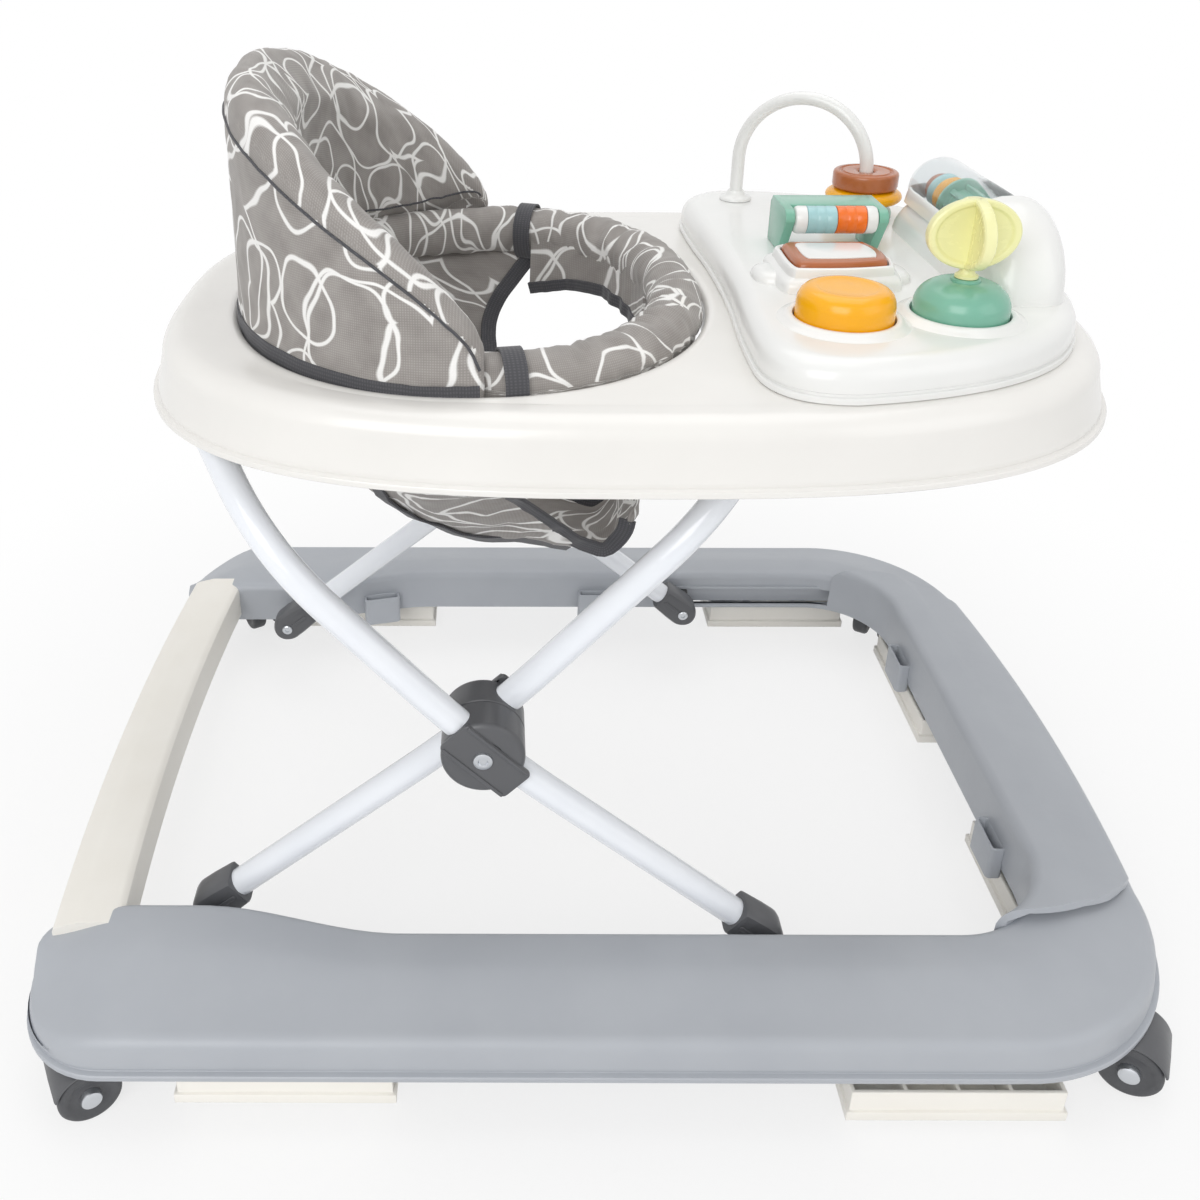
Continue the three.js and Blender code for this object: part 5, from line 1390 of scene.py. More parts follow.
@dataclass
class CrossFrame:
    """The two bent tubes with their hubs, bolts and feet. Millimetres."""

    hub_x: float = -83
    hub_z: float = 204
    foot_z: float = 54
    bar_z: float = 404
    bar_spread: float = 178
    foot_spread: float = 182
    outer_plane: float = 186
    inner_plane: float = 162
    outer_inward: float = 85
    inner_inward: float = 60
    radius: float = 9.25
    hub_radius: float = 25.5
    foot_radius: float = 13
    front_washer: float = 212.0
    rear_washer: float = 193.6

    def corners(self, way: int, plane: float, inward: float) -> list[tuple[Vector, float]]:
        """Corners of one tube with the length of each bend.

        Args:
            way: 1 when the crossbar lies in front of the hub, -1 behind it.
            plane: distance of the legs from the middle.
            inward: how far the upper bend draws in.

        Returns:
            The corner points and their bends.
        """
        hub = Vector((self.hub_x, 0, self.hub_z))
        foot = Vector((self.hub_x - way * self.foot_spread, 0, self.foot_z))
        bar = Vector((self.hub_x + way * self.bar_spread, 0, self.bar_z))
        end = foot - (foot - hub).normalized() * 6
        leg = bar - (bar - hub).normalized() * inward
        run = [(end, plane, 0), (hub, plane, 60), (leg, plane, 50), (bar, plane - inward, 35)]
        near = [(Vector((p.x, -y, p.z)), bend) for p, y, bend in run]
        far = [(Vector((p.x, y, p.z)), bend) for p, y, bend in reversed(run)]
        return near + far

    def tube_path(self, corners: Sequence[tuple[Vector, float]], step: float = 12) -> list[Vector]:
        """Points along straight runs and bends.

        Args:
            corners: the corner points with the length of each bend.
            step: about how far apart the points of a straight run lie.

        Returns:
            The points, in metres.
        """
        points = [corners[0][0]]
        for (before, _), (at, bend), (after, _) in zip(corners, corners[1:], corners[2:]):
            start = at + (before - at).normalized() * bend
            end = at + (after - at).normalized() * bend
            last = points[-1].copy()
            count = max(int((start - last).length / step), 1)
            points += [last.lerp(start, i / count) for i in range(1, count)]
            points += [curved(start, at, end, i / 14) for i in range(15)]
        return [p * MM for p in [*points, corners[-1][0]]]

    def turned(self, name: str, profile: Sequence[Plan], side: Side, x: float, z: float, steps: int) -> Piece:
        """A lathed piece across the frame, whose profile runs away from the middle plane."""
        return lathe(name, [(r, side.value * y) for r, y in profile], (x, 0, z), Axis.Y, steps)

    def build_cover(self, side: Side, outward: bool) -> Piece:
        """One half of a hub: a turned disc under a wide strip that runs along its tube.

        Args:
            side: near or far.
            outward: whether it is the outer half.

        Returns:
            The half.
        """
        face, seam = (197.0, 174.3) if outward else (151.0, 173.7)
        step = 1 if outward else -1
        r = self.hub_radius
        profile = [(0, seam), (r - 0.6, seam), (r, seam + step * 0.6)]
        profile += [(r - x, face + step * z) for x, z in quarter(0, 0, 4, range(0, 91, 18))]
        profile += [(13.2, face), (12.4, face - step * 0.9), (11.4, face - step * 0.9), (10.6, face), (0, face)]
        disc = self.turned("hub_disc", profile, side, self.hub_x, self.hub_z, 72)
        lean = atan2(self.bar_z - self.foot_z, self.bar_spread + self.foot_spread)
        place = stand(self.hub_x, 0, self.hub_z) @ Matrix.Rotation(step * lean, 4, "Y")
        flip = Matrix.Diagonal((1, step * side.value, 1, 1))
        ridges = []
        strips = [(54, 25, 4, 2, 0, 2.9), (50, 2.4, 1, 2, 11, 3.9), (50, 2.4, 1, 2, -11, 3.9)]
        for *plan, high in strips:
            block = plate("strip", box_plan(*plan), 0, high, 0.8)
            moved(block, stand(0, 0, step * face - 2))
            ridges.append(moved(block, place @ flip @ Matrix.Rotation(-pi / 2, 4, "X")))
        return combined(disc, *ridges, way="UNION")

    def build_bolt(self, side: Side) -> Piece:
        """The hub's bolt: round heads with a driver recess.

        Args:
            side: near or far.

        Returns:
            The bolt.
        """
        low, high = 149.1, 197.3
        profile = [(0, low - 2), (4.6, low - 2.4), (5.7, low - 1.9), (6, low - 1), (6, low), (3, low), (3, high)]
        profile += [(6, high), (6, high + 1), (5.7, high + 1.9), (4.6, high + 2.4), (3.1, high + 2.4)]
        profile += [(2.4, high + 1.2), (0, high + 1)]
        return self.turned(f"hub_pin_{side.word}", profile, side, self.hub_x, self.hub_z, 40)

    def foot_place(self, front: bool) -> Plan:
        """Place along X of a foot's pin, and the distance of its tube from the middle plane.

        Args:
            front: whether it is a front foot.

        Returns:
            The two distances.
        """
        if front:
            return self.hub_x + self.foot_spread, self.outer_plane
        return self.hub_x - self.foot_spread, self.inner_plane

    def build_foot(self, side: Side, front: bool) -> Piece:
        """A foot bracket: a rounded clamshell on the tube's end, with its pin and two ribs.

        Args:
            side: near or far.
            front: whether it is the sliding front foot.

        Returns:
            The bracket.
        """
        x, plane = self.foot_place(front)
        angle = atan2(self.hub_z - self.foot_z, self.hub_x - x)
        outline = arc(self.foot_radius, 90, 180, 18)
        outline += [(10, -12.8), (25, -11.6), (26, -10.8), (26, 10.8), (25, 11.6), (10, 12.8)]
        levels = []
        far = ((0, 5.6), (0.6, 8.6), (2.2, 10.7), (5, 11.5))
        for shrink, y in [*((shrink, -y) for shrink, y in reversed(far)), *far]:
            size = 1 - shrink / self.foot_radius
            levels.append([mm(12 + (u - 12) * (1 - shrink / 40), y, v * size) for u, v in outline])
        sleeve = loft("sleeve", levels)
        lines = []
        for y in (-11.2, 11.2):
            line = plate("rib", box_plan(17, 3, 1.2, 14, 0), -1.2, 1.2, 0.6)
            lines.append(moved(line, stand(0, y, 0, pi / 2, "X")))
        combined(sleeve, *lines, way="UNION")
        moved(sleeve, stand(x, side.value * plane, self.foot_z, -angle, "Y"))
        face = plane + 10
        pin, wall = (7.8, self.front_washer) if front else (6, self.rear_washer)
        profile = [(0, face), (pin, face), (pin, wall), (pin + 2, wall), (pin + 2, wall + 1.6), (0, wall + 1.6)]
        return combined(sleeve, self.turned("peg", profile, side, x, self.foot_z, 40), way="UNION")

    def build_screw(self, side: Side, front: bool) -> Piece:
        """The small steel screw in the inner face of a foot.

        Args:
            side: near or far.
            front: whether it is in a front foot.

        Returns:
            The screw.
        """
        x, plane = self.foot_place(front)
        profile = [(0, -1), (4.4, -1), (4.4, 0.9), (3.6, 1.5), (2, 1.6), (1.5, 0.6), (0, 0.5)]
        centre = (x, side.value * (plane - 11.5), self.foot_z)
        name = f"foot_screw_{'front' if front else 'rear'}_{side.word}"
        return lathe(name, [(r, -side.value * h) for r, h in profile], centre, Axis.Y, 32)

    def build(self) -> None:
        """Builds and dresses the tubes, hubs, bolts and feet."""
        outer = self.tube_path(self.corners(-1, self.outer_plane, self.outer_inward))
        inner = self.tube_path(self.corners(1, self.inner_plane, self.inner_inward))
        for name, path, body in (("outer", outer, "frame_a"), ("inner", inner, "frame_b")):
            tube = smoothed(swept(f"tube_{name}", path, self.radius, 32), 60)
            dress(tube, POWDER, body, f"frame_tube_{name}")
        for side in Side:
            for outward, word, body in ((True, "outer", "frame_a"), (False, "inner", "frame_b")):
                cover = smoothed(self.build_cover(side, outward), 30)
                cover.name = f"hub_{word}_{side.word}"
                dress(cover, DARK, body, f"hub_cover_{word}_{side.word}")
            dress(smoothed(self.build_bolt(side), 30), STEEL, "frame_b", f"hub_bolt_{side.word}")
            for front, word, body in ((True, "front", "frame_a"), (False, "rear", "frame_b")):
                foot = smoothed(self.build_foot(side, front), 34)
                foot.name = f"bracket_{word}_{side.word}"
                dress(foot, DARK, body, f"foot_{word}_{side.word}")
                dress(smoothed(self.build_screw(side, front), 30), STEEL, body)


# ---- tray


@dataclass
class Oval:
    """A superellipse in plan. Millimetres."""

    half_x: float
    half_y: float
    power: float
    middle: float

    def at(self, inset: float, angle: float) -> Plan:
        """A point of the outline drawn in by the inset.

        Args:
            inset: how far the outline is drawn in.
            angle: the way round, in radians.

        Returns:
            The point.
        """
        c, s = cos(angle), sin(angle)
        x = (self.half_x - inset) * copysign(abs(c) ** (2 / self.power), c)
        y = (self.half_y - inset) * copysign(abs(s) ** (2 / self.power), s)
        return self.middle + x, y


RIM = Oval(299, 217, 2.8, 5)
OPENING = Oval(151, 175, 2.15, -91)


@dataclass
class Tray:
    """The main tray with its bearings and slide tracks. Millimetres."""

    top: float = 431
    low: float = 391
    shoulder: float = 14
    collar: float = 5
    steps: int = 176

    def skins(self) -> tuple[list[Plan], list[Plan], list[Plan]]:
        """Sections of the tray, as inset and height.

        Returns:
            The outer skin, the opening's skin and the underside.
        """
        low, top = self.low, self.top
        hem = [(0.6, 0), (0, 0.6), (0, 3), (0.5, 3.7), (2.7, 4.2), (3.2, 4.8), (2.9, 6.4), (3.4, 8)]
        outer = [(x, low + z) for x, z in hem]
        outer += quarter(7.5, top, self.shoulder, (0, 12, 24, 36, 48, 60, 72, 82, 90))
        outer += [(27, top + 0.15), (30, top)]
        opening = [(9, top), (7, top + 0.5), *quarter(0, top + 0.5, self.collar, (90, 70, 50, 30, 10, 0))]
        opening += [(0, top - 21.4), (0.5, top - 22), (2.5, top - 22), (3, top - 21.4), (3, top - 7), (6, top - 3)]
        under = [(24.5, top - 3), (17, top - 5), (12.4, top - 10), (10.5, top - 17), (5.5, low + 0.6), (5, low)]
        return outer, opening, under

    def build_shell(self) -> Piece:
        """The one-piece tray skin round the opening.

        Returns:
            The tray's skin.
        """
        outer, opening, under = self.skins()
        rings = []
        for i in range(self.steps):
            angle = 2 * pi * (i + 0.5) / self.steps
            ring = [mm(*RIM.at(inset, angle), z) for inset, z in outer]
            ring += [mm(*OPENING.at(-outset, angle), z) for outset, z in opening]
            rings.append(ring + [mm(*RIM.at(inset, angle), z) for inset, z in under])
        return loft("tray_shell", rings, closed=True)

    def build(self) -> None:
        """Builds and dresses the tray and its fittings."""
        dress(smoothed(self.build_shell(), 40), WARM, "tray", "main_tray")
        for side in Side:
            for word in ("bar_bearing", "slide_track"):
                node = f"{word}_{side.word}"
                dress(smoothed(refined(f"{node}_block", node, 1.0, 3), 40), DARK, "tray", node)
# ---- toy tray


def bezier(a: float, b: float, c: float, t: float) -> float:
    """A coordinate of the curve from a to c by way of b."""
    return (1 - t) ** 2 * a + 2 * t * (1 - t) * b + t * t * c


def circled(centre: Plan, across: float, along: float, steps: int) -> list[Plan]:
    """A closed oval profile for lathe(), given by its middle and its two half sizes."""
    turns = [2 * pi * i / steps for i in range(steps + 1)]
    return [(centre[0] + across * cos(a), centre[1] + along * sin(a)) for a in turns]


@dataclass
class ToyTray:
    """The white toy tray and every toy on it. Millimetres."""

    inset: float = 23
    rear: float = 67
    corner: float = 46
    waist: float = 5
    low: float = 431.3
    top: float = 454
    button: Round = (121, -120, 27.5, 20)
    dome: Round = (189, -113, 26.5, 23)
    key: Round = (136, -43, 31, 23)
    arch_left: Plan = (109, 150)
    arch_right: Plan = (192, 101)
    arch_radius: float = 4.8
    arch_base: float = 454.3
    arch_spring: float = 486.3
    drum: Place = (236, 482, 22)
    drum_ends: Plan = (-48, 74)
    roller: Place = (145, 4, 478)

    def outline(self, inset: float) -> list[Plan]:
        """The toy tray's outline: the tray's own curve in front, a waisted line behind.

        Args:
            inset: how far the outline is drawn in.

        Returns:
            The outline's points.
        """
        rear = self.rear + inset
        turn = rear + self.corner - inset
        half_x = RIM.half_x - self.inset - inset
        reach = acos(((turn + 0.5 - RIM.middle) / half_x) ** (RIM.power / 2))
        points = [RIM.at(self.inset + inset, a) for a in spread_over(-reach, reach, 100)]
        end = points[-1]
        half = end[1] - self.corner
        back = []
        for t in (i / 12 for i in range(1, 13)):
            back.append((bezier(end[0], rear, rear, t), bezier(end[1], end[1], half, t)))
        for t in (i / 16 for i in range(1, 17)):
            x = rear + self.waist * (3 * t * t * (1 - t) + t**3)
            back.append((x, half * ((1 - t) ** 3 + 1.5 * t * (1 - t) ** 2 + 1.5 * t * t * (1 - t))))
        return points + back + [(x, -y) for x, y in reversed(back[:-1])]

    def build_deck(self) -> Piece:
        """The toy tray's shell with a stepped lower edge and rounded shoulders.

        Returns:
            The deck, still without its bores.
        """
        hem = [(0.6, 0), (0, 0.6), (0, 3.4), (0.5, 3.9), (1.9, 4.1), (2.2, 4.6), (2.2, 5.4), (1.2, 6), (1.0, 8)]
        levels = [(inset, self.low + z) for inset, z in hem] + quarter(1.2, self.top, 11.5, range(0, 91, 18))
        return stacked("toy_deck", [(self.outline(inset), z) for inset, z in levels])

    def build_well(self, place: Round, name: str) -> Piece:
        """The raised collar round a button, with a dark gap inside it.

        Args:
            place: the button's middle, radius and height.
            name: the collar's name.

        Returns:
            The collar.
        """
        x, y, radius, _ = place
        profile = [(9, -2), (9, -0.2), (8.2, 0.5), (6.4, 0.9), (4.8, 2.2), (3.2, 3.3), (1.4, 3.5), (0.3, 3.1),
                   (0, 2.2), (0, -2), (9, -2)]
        return lathe(name, [(radius + 1 + r, self.top + z) for r, z in profile], (x, y, 0), steps=80)

    def build_console(self) -> Piece:
        """The rounded hump that holds the drum, with a high hood over the drum's near end.

        Returns:
            The console, still without the drum's room.
        """
        x, _, _ = self.drum
        near, turn, far = -98, -44, 86
        low, hood, back = 451, 56, 29
        rings = []
        for i in range(49):
            y = (near + far) / 2 - (far - near) / 2 * cos(pi * i / 48)
            fall = min(max(turn - y, 0) / (turn - near), 0.995)
            end = (1 - min((far - y) / 30, 1)) ** 2.4
            high = (hood - (hood - back) * blended((y - turn + 2) / 10)) * sqrt(1 - fall * fall)
            high *= 1 - 0.9 * end
            half = 31 * (1 - fall * fall) ** 0.3 * (1 - 0.25 * end)
            ring = [(-half - 3, 0), (-half - 1, 0.04 * high)]
            for a in (pi * k / 24 for k in range(1, 24)):
                c, up = cos(a), sin(a)
                ring.append((-half * copysign(abs(c) ** 0.77, c), high * up**0.77))
            ring += [(half + 1, 0.04 * high), (half + 3, 0)]
            rings.append([mm(x + across, y, low + z) for across, z in ring])
        return loft("console", rings)

    def build_cradle(self) -> Piece:
        """The frame round the drum's window: a rounded collar that follows the console's top.

        Returns:
            The collar.
        """
        x, _, radius = self.drum
        near, far = self.drum_ends
        levels = []
        for grow, z in ((0.4, 474), (0.4, 483), (0.8, 483.7), (2, 483.7), (2.7, 483), (3.4, 480), (4.4, 474)):
            wide, long = 2 * (radius + grow), far - near + 2 * grow
            levels.append((box_plan(wide, long, 14 + grow, x, (near + far) / 2), z))
        return stacked("drum_cradle", levels, closed=True)

    def build_pedestal(self) -> Piece:
        """The stepped white block under the key, with a smooth handle at each side.

        Returns:
            The pedestal with its handles.
        """
        x, y, *_ = self.key
        grown = ((9.6, 451.5), (9.4, 457), (8.8, 459.4), (7.4, 461), (5.8, 461.8), (4.8, 462.4), (4.4, 463.6),
                 (4.2, 466), (3.5, 467.4), (2.5, 468), (1.6, 468), (0.8, 467.4), (0.8, 460.9))
        block = stacked("pedestal", [(self.key_plan(grow), z) for grow, z in grown])
        levels = []
        for shrink, z in ((0, 452), (0, 454.5), (0.8, 457), (2.4, 458.8), (4.6, 459.8), (8, 460.2)):
            levels.append((box_plan(98 - 2 * shrink, 34 - 2 * shrink, 15 - shrink, x - 3, y + 1), z))
        return combined(block, stacked("handles", levels), way="UNION")

    def key_plan(self, grow: float) -> list[Plan]:
        """The key's rounded triangle, grown outwards.

        Args:
            grow: how far the outline is grown.

        Returns:
            The outline's points.
        """
        x, y, half_x, half_y = self.key
        wide, deep = half_x + grow, half_y + grow
        at = (-0.9, -1.0)
        points: list[Plan] = []
        bends = (((0, -1.1), (0.82, -0.8)), ((1.05, 0), (0.72, 1)), ((0, 1), (-0.8, 1)), ((-1.05, 0.9), (-1, 0.5)))
        for bend, end in (*bends, ((-1.04, -0.9), at)):
            for t in (i / 12 for i in range(12)):
                u, v = (bezier(*line, t) for line in zip(at, bend, end))
                points.append((x + wide * u, y + deep * v))
            at = end
        return points

    def build_key(self) -> Piece:
        """The brown key with rounded edges."""
        levels = ((-1.2, 464.2), (-0.2, 464.8), (0, 466), (0, 468), (-0.5, 469.6), (-1.8, 470.7), (-3.4, 471))
        return stacked("key_plate", [(self.key_plan(grow), z) for grow, z in levels])

    def build_insert(self) -> Piece:
        """The bare pale insert set into the key."""
        return plate("key_insert", self.key_plan(-7), 470.2, 471.8, 0.5)

    def build_button(self) -> Piece:
        """The yellow button: a flat-topped cap with a shallow ring near its edge.

        Returns:
            The button.
        """
        x, y, radius, height = self.button
        base, top = 444.6, self.top + height
        edge = [(0, -10), (0.5, -6.6), (1.8, -3.6), (4.2, -1.3), (7.4, -0.25), (10, 0), (11, -0.25), (12, -0.45)]
        profile = [(0, base), (radius, base), *((radius - r, top + z) for r, z in edge)]
        profile += [(6, top - 0.3), (0, top - 0.3)]
        return lathe("yellow_button", profile, (x, y, 0), steps=80)

    def build_dome(self) -> Piece:
        """The green dome with a small flat disc on top.

        Returns:
            The dome.
        """
        x, y, radius, height = self.dome
        flat, spring, top = 8.4, self.top + 7, self.top + height
        profile = [(0, 443), (radius, 443), (radius, spring)]
        for a in (radians(90 * i / 12) for i in range(1, 12)):
            profile.append((flat + (radius - flat) * cos(a), spring + (height - 8.5) * sin(a)))
        profile += [(flat, top - 1.5), (8.2, top - 0.5), (7.6, top), (0, top)]
        return lathe("green_dome", profile, (x, y, 0), steps=80)

    def build_propeller(self) -> Piece:
        """Two crossed ovals with thick rims and recessed faces, on a short footed neck.

        Returns:
            The propeller in its place on the dome.
        """
        x, y, *_ = self.dome
        rim = [(0, -1.7), (0.76, -1.7), (0.8, -2.1), (0.83, -3.1), (0.87, -3.5), (0.95, -3.5), (0.99, -2.8)]
        rim += [(1, -1.6)]
        rim += [(size, -off) for size, off in reversed(rim)]
        turns = [2 * pi * k / 56 for k in range(56)]
        blades = []
        for turn in (0, 90):
            rings = []
            for size, off in rim:
                flat = max(size, 0.02)
                rings.append([mm(26 * flat * cos(a), off, 20 * flat * sin(a)) for a in turns])
            blades.append(moved(loft("blade", rings), Matrix.Rotation(radians(turn), 4, "Z")))
        foot = [(0, -25), (6.5, -25), (6.5, -23.6), (5, -22.8), (4.2, -21.5), (4, -16), (0, -16)]
        whole = combined(*blades, lathe("neck", foot, steps=32), way="UNION")
        whole.name = "propeller_blades"
        return moved(whole, stand(x, y, 502.3))

    def build_arch(self) -> Piece:
        """The white arch with its flange.

        Returns:
            The arch.
        """
        left, right = Vector(self.arch_left), Vector(self.arch_right)
        middle, way = (left + right) / 2, (right - left).normalized()
        reach = (right - left).length / 2
        base, spring = self.arch_base, self.arch_spring
        points = [mm(left.x, left.y, base + (spring - base) * i / 4) for i in range(4)]
        for a in (pi * (1 - i / 36) for i in range(37)):
            p = middle + way * reach * cos(a)
            points.append(mm(p.x, p.y, spring + reach * sin(a)))
        points += [mm(right.x, right.y, spring - (spring - base) * i / 4) for i in range(1, 5)]
        tube = swept("arch_tube", points, self.arch_radius, 28)
        foot = [(0, 0), (12, 0), (12, 1.4), (11.4, 2.2), (8.6, 3), (7, 4.4), (6, 7), (0, 7)]
        flange = lathe("flange", [(r, base + z) for r, z in foot], (left.x, left.y, 0), steps=48)
        return combined(tube, flange, way="UNION")

    def build_rings(self) -> None:
        """Builds the green seat, the yellow ring and the brown disc, threaded on the arch."""
        seat = [(5.1, 454.3), (20.4, 454.3), (21, 455), (21, 458.6), (20.2, 460.6), (18.4, 461.6), (17.6, 462.4),
                (17.2, 463.6), (16.4, 464.3), (5.1, 464.3), (5.1, 454.3)]
        disc = [(6, 475.9), (21.6, 475.9), (22.6, 476.6), (23, 478), (23, 485.6), (22.6, 487), (21.6, 487.8),
                (19.4, 487.9), (18.8, 487.2), (18.2, 486.7), (17.4, 486.7), (16.8, 487.2), (16.2, 487.9), (9, 487.9),
                (7.2, 487.6), (6, 486.6), (6, 475.9)]
        for name, profile, steps, finish, body, node in (
            ("ring_base", seat, 64, GREEN, "toy_tray", "ring_seat"),
            ("yellow_ring", circled((16.5, 470.1), 10.5, 5.5, 32), 72, YELLOW, "ring", "loose_ring"),
            ("brown_disc", disc, 72, BROWN, "disc", "loose_disc"),
        ):
            dress(smoothed(lathe(name, profile, (*self.arch_right, 0), steps=steps), 40), finish, body, node)

    def build_roller(self) -> None:
        """Builds the roller's white core with rounded ends, and its two bands."""
        core = [(3.3, -27), (6.5, -27), (8.2, -26.2), (9, -24.6), (9, -19.4), (7.5, -19.3)]
        core += [(r, -x) for r, x in reversed(core)]
        rows = [("roller_white", [*core, core[0]], COOL, "roller_core")]
        for name, start, finish in (("blue", -19, BLUE), ("orange", 0.2, ORANGE)):
            half = [(7.6, 0), (8.7, 0), (9, 0.4), (9, 5.8), (8.75, 6.2), (8.75, 6.6), (9, 7)]
            band = [(r, start + x) for r, x in half] + [(r, start + 18.8 - x) for r, x in reversed(half)]
            rows.append((f"band_{name}", [*band, band[0]], finish, f"roller_band_{name}"))
        for name, profile, finish, node in rows:
            dress(smoothed(lathe(name, profile, self.roller, Axis.X, 56), 36), finish, "roller", node)

    def on_drum_axis(self, name: str, profile: Sequence[Plan], steps: int) -> Piece:
        """A piece turned about the drum's axis."""
        return lathe(name, profile, (self.drum[0], 0, self.drum[1]), Axis.Y, steps)

    def build_drum(self) -> Piece:
        """The clear drum: a thin tube with closed ends.

        Returns:
            The drum.
        """
        radius = self.drum[2]
        near, far = self.drum_ends
        inner = radius - 1.8
        profile = [(3.2, near), (radius - 1.2, near), (radius - 0.3, near + 0.4), (radius, near + 1.4)]
        profile += [(radius, far - 1.4), (radius - 0.3, far - 0.4), (radius - 1.2, far), (3.2, far), (3.2, far - 1.8)]
        profile += [(inner, far - 1.8), (inner, near + 1.8), (3.2, near + 1.8), (3.2, near)]
        return self.on_drum_axis("clear_drum", profile, 72)

    def build_spool(self) -> Piece:
        """The green spool on its pin inside the drum, with eight ribs.

        Returns:
            The spool.
        """
        x, z, _ = self.drum
        profile = [(0, -47.5), (2.9, -47.5), (2.9, -45.2), (17.4, -45.2), (18, -44.6), (18, -42.8), (17.4, -42.2),
                   (12, -42.2), (12, 21.8), (17.4, 21.8), (18, 22.4), (18, 24.2), (17.4, 24.8), (2.9, 24.8),
                   (2.9, 73.5), (0, 73.5)]
        core = self.on_drum_axis("spool_core", profile, 56)
        ribs = []
        for i in range(8):
            rib = plate("rib", box_plan(4, 63, 1), 0, 4.2, 0.8)
            ribs.append(moved(rib, stand(x, -10.2, z, pi * i / 4, "Y") @ stand(0, 0, 11)))
        return combined(core, *ribs, way="UNION")

    def build_beads(self) -> None:
        """Builds the small coloured beads threaded on the free end of the spool's pin."""
        row = ((31.5, 12, ORANGE, "orange"), (43.5, 13.5, YELLOW, "yellow"), (56, 12.5, BLUE, "blue"))
        for place, radius, finish, name in (*row, (67, 9.5, BROWN, "brown")):
            half = (radius - 3.2) / 2
            bead = self.on_drum_axis(f"bead_{name}", circled((3.2 + half, place), half, 4.6, 24), 48)
            dress(smoothed(bead, 40), finish, "spool")

    def build_shell(self) -> None:
        """Builds the deck with its bores, the console with the drum's room, and the trims on them."""
        deck = self.build_deck()
        for x, y, radius, _ in (self.button, self.dome):
            bore = [(0, 440), (radius + 1, 440), (radius + 1, 470), (0, 470)]
            combined(deck, lathe("bore", bore, (x, y, 0), steps=80))
        console = self.build_console()
        near, far = self.drum_ends
        radius = self.drum[2] + 0.4
        room = [(0, near - 0.4), (radius, near - 0.4), (radius, far + 0.4), (0, far + 0.4)]
        for piece in (deck, console):
            combined(piece, self.on_drum_axis("room", room, 72))
        parts = {"toy_deck": deck, "drum_console": console}
        parts["button_collar"] = self.build_well(self.button, "well_button")
        parts["dome_collar"] = self.build_well(self.dome, "well_dome")
        parts["key_pedestal"] = self.build_pedestal()
        parts["drum_collar"] = self.build_cradle()
        for name, part in parts.items():
            part.name = name
            dress(smoothed(part, 32), COOL, "toy_tray", *(["toy_tray_shell"] if part is deck else []))

    def build(self) -> None:
        """Builds and dresses the toy tray and its toys."""
        self.build_shell()
        dress(smoothed(self.build_button(), 30), YELLOW, "button", "push_button")
        dress(smoothed(self.build_dome(), 34), GREEN, "toy_tray", "propeller_dome")
        dress(smoothed(self.build_propeller(), 34), LEMON, "spinner", "propeller")
        dress(smoothed(self.build_arch(), 40), COOL, "toy_tray", "toy_arch")
        self.build_rings()
        dress(smoothed(self.build_key(), 36), BROWN, "key", "rocker_key")
        dress(smoothed(self.build_insert(), 36), COOL, "key")
        dress(smoothed(refined("flap_bracket", "roller_flap", 0.9, 3), 36), GREEN, "toy_tray", "roller_flap")
        self.build_roller()
        dress(smoothed(self.build_drum(), 40), CLEAR, "toy_tray", "drum_window")
        dress(smoothed(self.build_spool(), 36), GREEN, "spool", "drum_spool")
        self.build_beads()
# ---- seat


def inflated(piece: Piece, cap: float, voxel: float = 4.5) -> Piece:
    """Blows a pad up with a cloth simulation and keeps every point within the cap of its start.

    Args:
        piece: the closed pad, a little smaller than its final size.
        cap: the most that a point may move, in millimetres.
        voxel: size of the remeshed faces, in millimetres.

    Returns:
        The same piece with the simulated shape applied.
    """
    apply(piece, "REMESH", mode="VOXEL", voxel_size=voxel * MM)
    start = [v.co.copy() for v in piece.data.vertices]
    take(piece)
    cloth = piece.modifiers.new("Cloth", "CLOTH")
    cloth.settings.use_pressure = True
    cloth.settings.uniform_pressure_force = 4
    cloth.settings.quality = 5
    cloth.settings.effector_weights.gravity = 0
    for frame_number in range(1, 21):
        bpy.context.scene.frame_set(frame_number)
    bpy.ops.object.modifier_apply(modifier=cloth.name)
    for vertex, was in zip(piece.data.vertices, start):
        step = vertex.co - was
        if step.length > cap * MM:
            vertex.co = was + step.normalized() * cap * MM
    bpy.context.scene.frame_set(1)
    apply(piece, "SMOOTH", factor=0.5, iterations=6)
    return apply(piece, "SUBSURF", levels=1, render_levels=1)


def crumpled(piece: Piece, depth: float, size: float, seed: float = 0) -> Piece:
    """Moves every point along its normal by soft noise, as loose cloth does.

    Args:
        piece: the cloth or pad.
        depth: the most that a point moves, in millimetres.
        size: size of the folds, in millimetres.
        seed: shifts the noise.

    Returns:
        The same piece.
    """
    normals = [v.normal.copy() for v in piece.data.vertices]
    for vertex, normal in zip(piece.data.vertices, normals):
        at = vertex.co / (size * MM) + Vector((seed, seed, seed))
        ridge = 1 - abs(noise.noise(at)) * 2.4
        vertex.co += normal * depth * MM * (0.7 * ridge + 0.3 * noise.noise(at * 2.3))
    piece.data.update()
    return piece


def laid_by_row(piece: Piece, where: Callable[[int, int], Plan]) -> Piece:
    """Writes how the threads of a lofted cloth lie, as a point attribute.

    Args:
        piece: the lofted piece.
        where: gives metres along and across from a point's number in its row and the row's number.

    Returns:
        The same piece.
    """
    layer = piece.data.attributes.new("weave", "FLOAT_VECTOR", "POINT")
    place, station = (piece.data.attributes[key].data for key in ("place", "station"))
    for i, value in enumerate(layer.data):
        value.vector = (*where(place[i].value, station[i].value), 0)
    return piece


